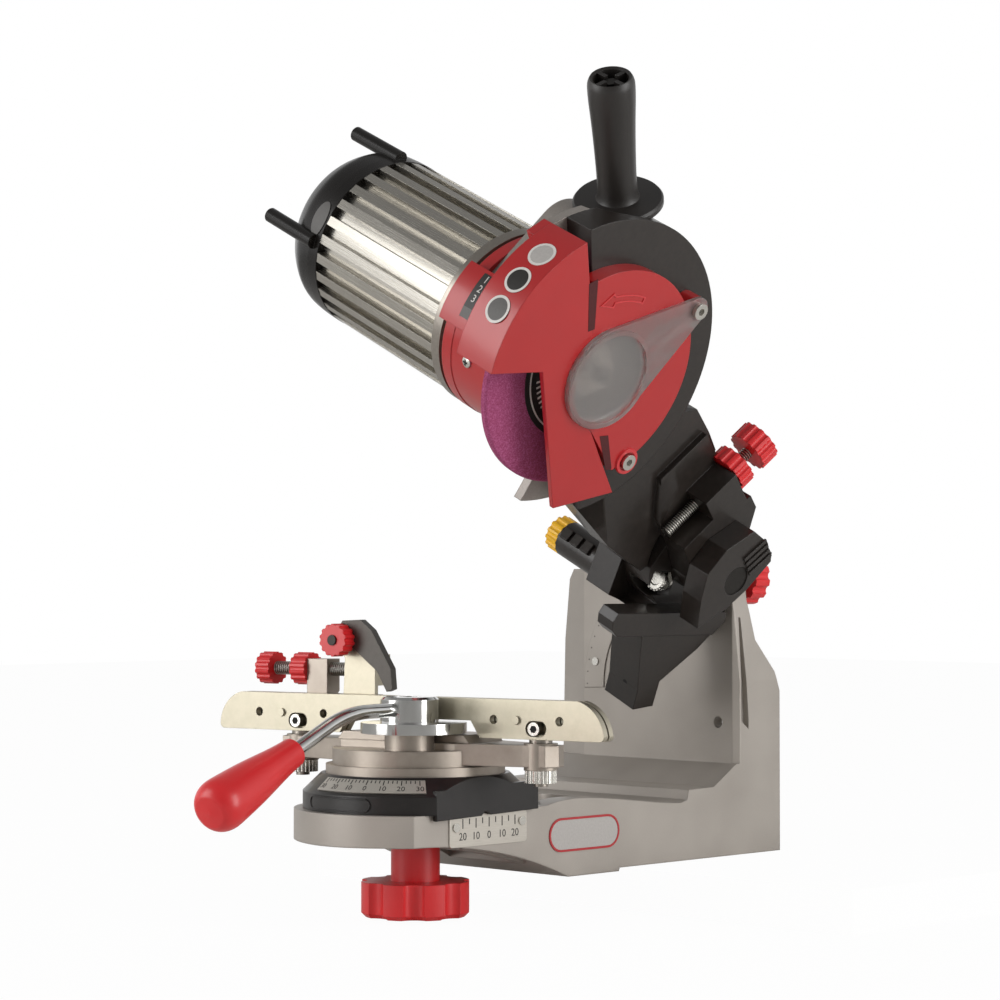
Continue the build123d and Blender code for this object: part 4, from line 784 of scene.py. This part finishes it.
CAST_SHARP = 13  # degrees: wider angles smear the shading over the long faces beside the cut
POCKET_FLOOR, OUTSIDE, FAR_SIDE = 10.2, 32, 70  # how deep the side is open, and well past the casting
LUG_START, LUG_END, LUG_EDGE = 26, 52, 8.6  # the lug that holds the rod, and how far it reaches to the wheel
LAP = 0.05  # blocks that end on the same plane leave the cut open, so they overlap by this much each
opened = cut_from(welded("arm_casting"), [
    block((-14, -7, POCKET_FLOOR), (LUG_START + LAP, FAR_SIDE, OUTSIDE)),
    block((LUG_START - LAP, LUG_EDGE, POCKET_FLOOR), (LUG_END + LAP, FAR_SIDE, OUTSIDE)),
    block((LUG_END - LAP, -16, POCKET_FLOOR), (80, FAR_SIDE, OUTSIDE)),
])
arm_open = settle("arm_open", opened, "arm", finish=BLACK_CAST, sharp=CAST_SHARP)
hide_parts("arm_casting")

# ---------------------------------------------------------------- motor: a grey oval painted on the cap as its pale sheen

settle("cap_painted_sheen", sheet([oval(10.6, 22)], 0.3, 1.5), "arm", bend=round_wheel(53.7, 169, -186.6),
       finish=GREY_INK)

# ---------------------------------------------------------------- wheel: the blotter's printed ring and bars

settle("label_ring", lathe([(40.4, 3.0), (41.4, 3.0), (41.4, 3.12), (40.4, 3.12), (40.4, 3.0)], 96), "spindle",
       place=wheel_seat(0), finish=WHITE_INK)
settle("label_bars", arc_of_bars(26, 34, 200, 140, (5, 1.3, 0.12), WHITE_INK), "spindle",
       place=wheel_seat(3.04))

# ---------------------------------------------------------------- bracket: serrated bolt head, ribs on the cheek

clamp_front = seat(head(1, -26, 77), ACROSS, -BACK)
settle("bolt_rosette", lathe([(0, 0), (7.7, 0), (7.7, 1.6), (6.9, 2.4), (4.6, 2.4), (4.0, 1.3), (0, 1.3)]), "tilt_head",
       place=clamp_front, finish=PLATED)
settle("bolt_teeth", arc_of_bars(20, 7.5, 0, 342, (0.9, 1.1, 2.0), PLATED), "tilt_head",
       place=clamp_front @ Matrix.Translation((0, 0, 1.1 * MM)))
settle("cheek_ribs", row_of_bars(4, 4.4, (2.2, 19, 1.4), BLACK_CAST), "tilt_head",
       place=head_seat(44.6, -1.8, 117.0, -45))

leg_face = seat(head(9.4, -31.0, 10.1), ACROSS, BACK * -0.93 - UP * 0.36)
# the hole in the leg's face, a dark disc of painted shade
settle("leg_hole", lathe([(0, -0.2), (1.8, -0.2), (1.8, 0.1), (0, 0.1)], 32), "tilt_head",
       place=leg_face, finish=SHADOW)

for ring in range(3):
    barrel = head_seat(-66 + ring * 9.5, -30.3, 67.8)
    settle(f"barrel_pads_{ring + 1}", arc_of_bars(1, 12.0, 150, 0, (2.6, 7.6, 6.8), BLACK_CAST), "tilt_head",
           place=barrel)

# ---------------------------------------------------------------- scales: ticks and plain figures

side_zero = Vector((50.82, -186.15, 0)) * MM
for name, first, count, pitch, low, high in (
    ("side_ticks_long", -20.65, 5, 10.325, 31.2, 36.6), ("side_ticks_short", -15.49, 4, 10.325, 33.4, 36.6),
):
    origin = side_zero + Vector((0, first, (low + high) / 2)) * MM
    settle(name, row_of_bars(count, pitch, (0.7, high - low, 0.12), BLACK_INK), "stand",
           place=seat(origin, BACK, (1, 0, 0)))
for i, figure in enumerate(("20", "10", "0", "10", "20")):
    origin = side_zero + Vector((0, (i - 2) * 10.325, 26.6)) * MM
    settle(f"side_figure_{i}", words(figure, 4.4), "stand", place=seat(origin, BACK, (1, 0, 0)),
           finish=BLACK_INK)

dial_at = Vector((0, 29.68, 102.2)) * MM
dial_seat = seat(dial_at, (1, 0, 0), -BACK)
settle("dial_dots", arc_of_bars(7, 75.2, 144, 36, (0.9, 0.9, 0.12), GREY_INK), "stand", place=dial_seat)


def on_angle_plate(p):
    """Bends a flat piece on to the sloping scale of the vise's ring: x round it, y up the slope."""
    turn = math.radians(-71) + p.x / MM / 60
    up_slope, lift = p.y / MM, p.z / MM
    radius = 63.15 - up_slope * 0.7207 + lift * 0.693
    height = 52.36 + up_slope * 0.693 + lift * 0.7207
    return VISE_ORIGIN + Vector((radius * math.cos(turn), radius * math.sin(turn), height)) * MM


SLOPE = 60 * math.radians(2.5)
for name, every, count, length in (("angle_ticks_short", 1, 25, 2.0), ("angle_ticks_long", 4, 7, 3.4)):
    first = Matrix.Translation((-12 * SLOPE * MM, (9.0 - length / 2) * MM, 0.05 * MM))
    settle(name, row_of_bars(count, every * SLOPE, (0.55, length, 0.12), BLACK_INK), "vise_carriage",
           bend=lambda p, first=first: on_angle_plate(first @ p))
for i, figure in enumerate(("30", "20", "10", "0", "10", "20", "30")):
    at = Matrix.Translation(((i - 3) * 4 * SLOPE * MM, 3.0 * MM, 0.02 * MM))
    settle(f"angle_figure_{i}", words(figure, 3.4), "vise_carriage",
           bend=lambda p, at=at: on_angle_plate(at @ p), finish=BLACK_INK)

# ---------------------------------------------------------------- stand and ring: bare badge, bare raised pad

badge_seat = seat(Vector((50.0, -107.2, 22.4)) * MM, BACK, (1, 0, 0))
settle("badge_face", sheet([stadium(57.4, 17.6)], 0.35), "stand", place=badge_seat, finish=SILVER_INK)
settle("badge_rim", outlined(stadium(59.6, 19.6), 1.3, 0.6), "stand", place=badge_seat, finish=RED_INK)


def on_ring(p):
    """Bends a flat piece on to the upright rim of the vise's ring."""
    turn = math.radians(-87.5) + p.x / MM / 64.4
    radius = 64.35 + p.z / MM
    return VISE_ORIGIN + Vector((radius * math.cos(turn), radius * math.sin(turn), 45.2 + p.y / MM)) * MM


settle("ring_pad", sheet([stadium(48, 7.6)], 0.5, 3.0), "vise_carriage", bend=on_ring, finish=BLACK_RING)
settle("ring_pad_rim", outlined(stadium(48, 7.6), 0.8, 0.9, 3.0), "vise_carriage", bend=on_ring,
       finish=BLACK_RING)

# ---------------------------------------------------------------- vise: recesses of the socket heads, dark hexagons of painted shade

for side, u in (("left", -82.0), ("right", 86.0)):
    hexagon = [polar(2.2, 60 * i) for i in range(6)]
    settle(f"head_recess_{side}", sheet([hexagon], 0.12), "vise",
           place=seat(vise(u, -7.58, 87), VISE_U, -VISE_W), finish=SHADOW)

# ---------------------------------------------------------------- stage, lamps and camera


def stage_box(name, low, high, material):
    """A plain box of the stage, from its low corner to its high corner in metres."""
    mesh = bpy.data.meshes.new(name)
    shape = bmesh.new()
    bmesh.ops.create_cube(shape, size=1)
    for v in shape.verts:
        v.co = [a + (b - a) * (c + 0.5) for a, b, c in zip(low, high, v.co)]
    shape.to_mesh(mesh)
    shape.free()
    mesh.materials.append(material)
    made = bpy.data.objects.new(name, mesh)
    bpy.context.scene.collection.objects.link(made)
    return made


def pale_stage():
    """Matt pale paper: to the eye it is nearly white, and a soft shadow still lies on it."""
    material = bpy.data.materials.new("pale paper stage")
    material.use_nodes = True
    tree = material.node_tree
    tree.nodes.clear()
    paper = add(tree, "ShaderNodeBsdfDiffuse", Color=srgb("#E9E7E4"))
    white = add(tree, "ShaderNodeEmission", Color=(1, 1, 1, 1), Strength=1.0)
    path = add(tree, "ShaderNodeLightPath")
    seen = add(tree, "ShaderNodeMath", {"operation": "MULTIPLY"}, i0=path.outputs["Is Camera Ray"], i1=0.97)
    mix = add(tree, "ShaderNodeMixShader", i0=seen.outputs[0], i1=paper.outputs[0], i2=white.outputs[0])
    add(tree, "ShaderNodeOutputMaterial", Surface=mix.outputs[0])
    return material


PAPER = pale_stage()
BENCH_FRONT = -74 * MM  # the flat foot starts behind the bench edge; the lip in front of it hangs just below
BOARD = 24.5 * MM
stage_box("bench_board", (-0.22, BENCH_FRONT, -BOARD), (0.22, 0.22, -0.05 * MM), PAPER)
stage_box("floor", (-4, -4, -BOARD - 0.01), (4, 4, -BOARD), PAPER)

world = bpy.data.worlds.new("white studio")
bpy.context.scene.world = world
world.use_nodes = True
sky = world.node_tree
sky.nodes.clear()
path = add(sky, "ShaderNodeLightPath")
straight = add(
    sky, "ShaderNodeMath", {"operation": "MAXIMUM"}, i0=path.outputs["Is Camera Ray"],
    i1=path.outputs["Is Transmission Ray"],
)
# the room seen in gloss: white low down all round, darker overhead and behind the camera
ray = add(sky, "ShaderNodeSeparateXYZ", Vector=add(sky, "ShaderNodeTexCoord").outputs["Generated"])
overhead = add(sky, "ShaderNodeMapRange", i0=ray.outputs[2], i1=0.15, i2=0.75, i3=1.0, i4=0.3)
side = add(sky, "ShaderNodeMath", {"operation": "SUBTRACT"}, i0=ray.outputs[0], i1=ray.outputs[1])
camera_side = add(sky, "ShaderNodeMapRange", i0=side.outputs[0], i1=0.7, i2=1.35, i3=1.0, i4=0.22)
room = add(sky, "ShaderNodeMath", {"operation": "MULTIPLY"}, i0=overhead.outputs[0], i1=camera_side.outputs[0])
gloss = add(sky, "ShaderNodeMix", {"data_type": "FLOAT"}, i0=path.outputs["Is Glossy Ray"], i2=0.42, i3=room.outputs[0])
level = add(sky, "ShaderNodeMix", {"data_type": "FLOAT"}, i0=straight.outputs[0], i2=gloss.outputs[0], i3=1.0)
add(
    sky, "ShaderNodeOutputWorld",
    Surface=add(sky, "ShaderNodeBackground", Color=(1, 1, 1, 1), Strength=level.outputs[0]).outputs[0],
)


def softbox(name, place, aim, width, height, watts):
    """A rectangular soft lamp at place, turned to aim."""
    lamp = bpy.data.lights.new(name, "AREA")
    lamp.shape = "RECTANGLE"
    lamp.size, lamp.size_y = width, height
    lamp.energy = watts
    made = bpy.data.objects.new(name, lamp)
    bpy.context.scene.collection.objects.link(made)
    made.location = place
    made.rotation_euler = (Vector(aim) - Vector(place)).to_track_quat("-Z", "Y").to_euler()
    return made


softbox("left_softbox", (-0.55, -1.35, 0.55), (0.0, -0.1, 0.2), 0.7, 1.1, 9.5)
softbox("right_softbox", (1.45, 0.30, 0.50), (0.0, -0.1, 0.2), 0.7, 1.1, 13)

lens = bpy.data.cameras.new("camera")
lens.lens = 99.72
lens.sensor_width = 36
camera = bpy.data.objects.new("camera", lens)
bpy.context.scene.collection.objects.link(camera)
camera.location = (1.1551, -1.2876, 0.1710)
camera.rotation_euler = (math.radians(91.6), 0, math.radians(44.85))
bpy.context.scene.camera = camera
bpy.context.scene.view_settings.view_transform = "Standard"
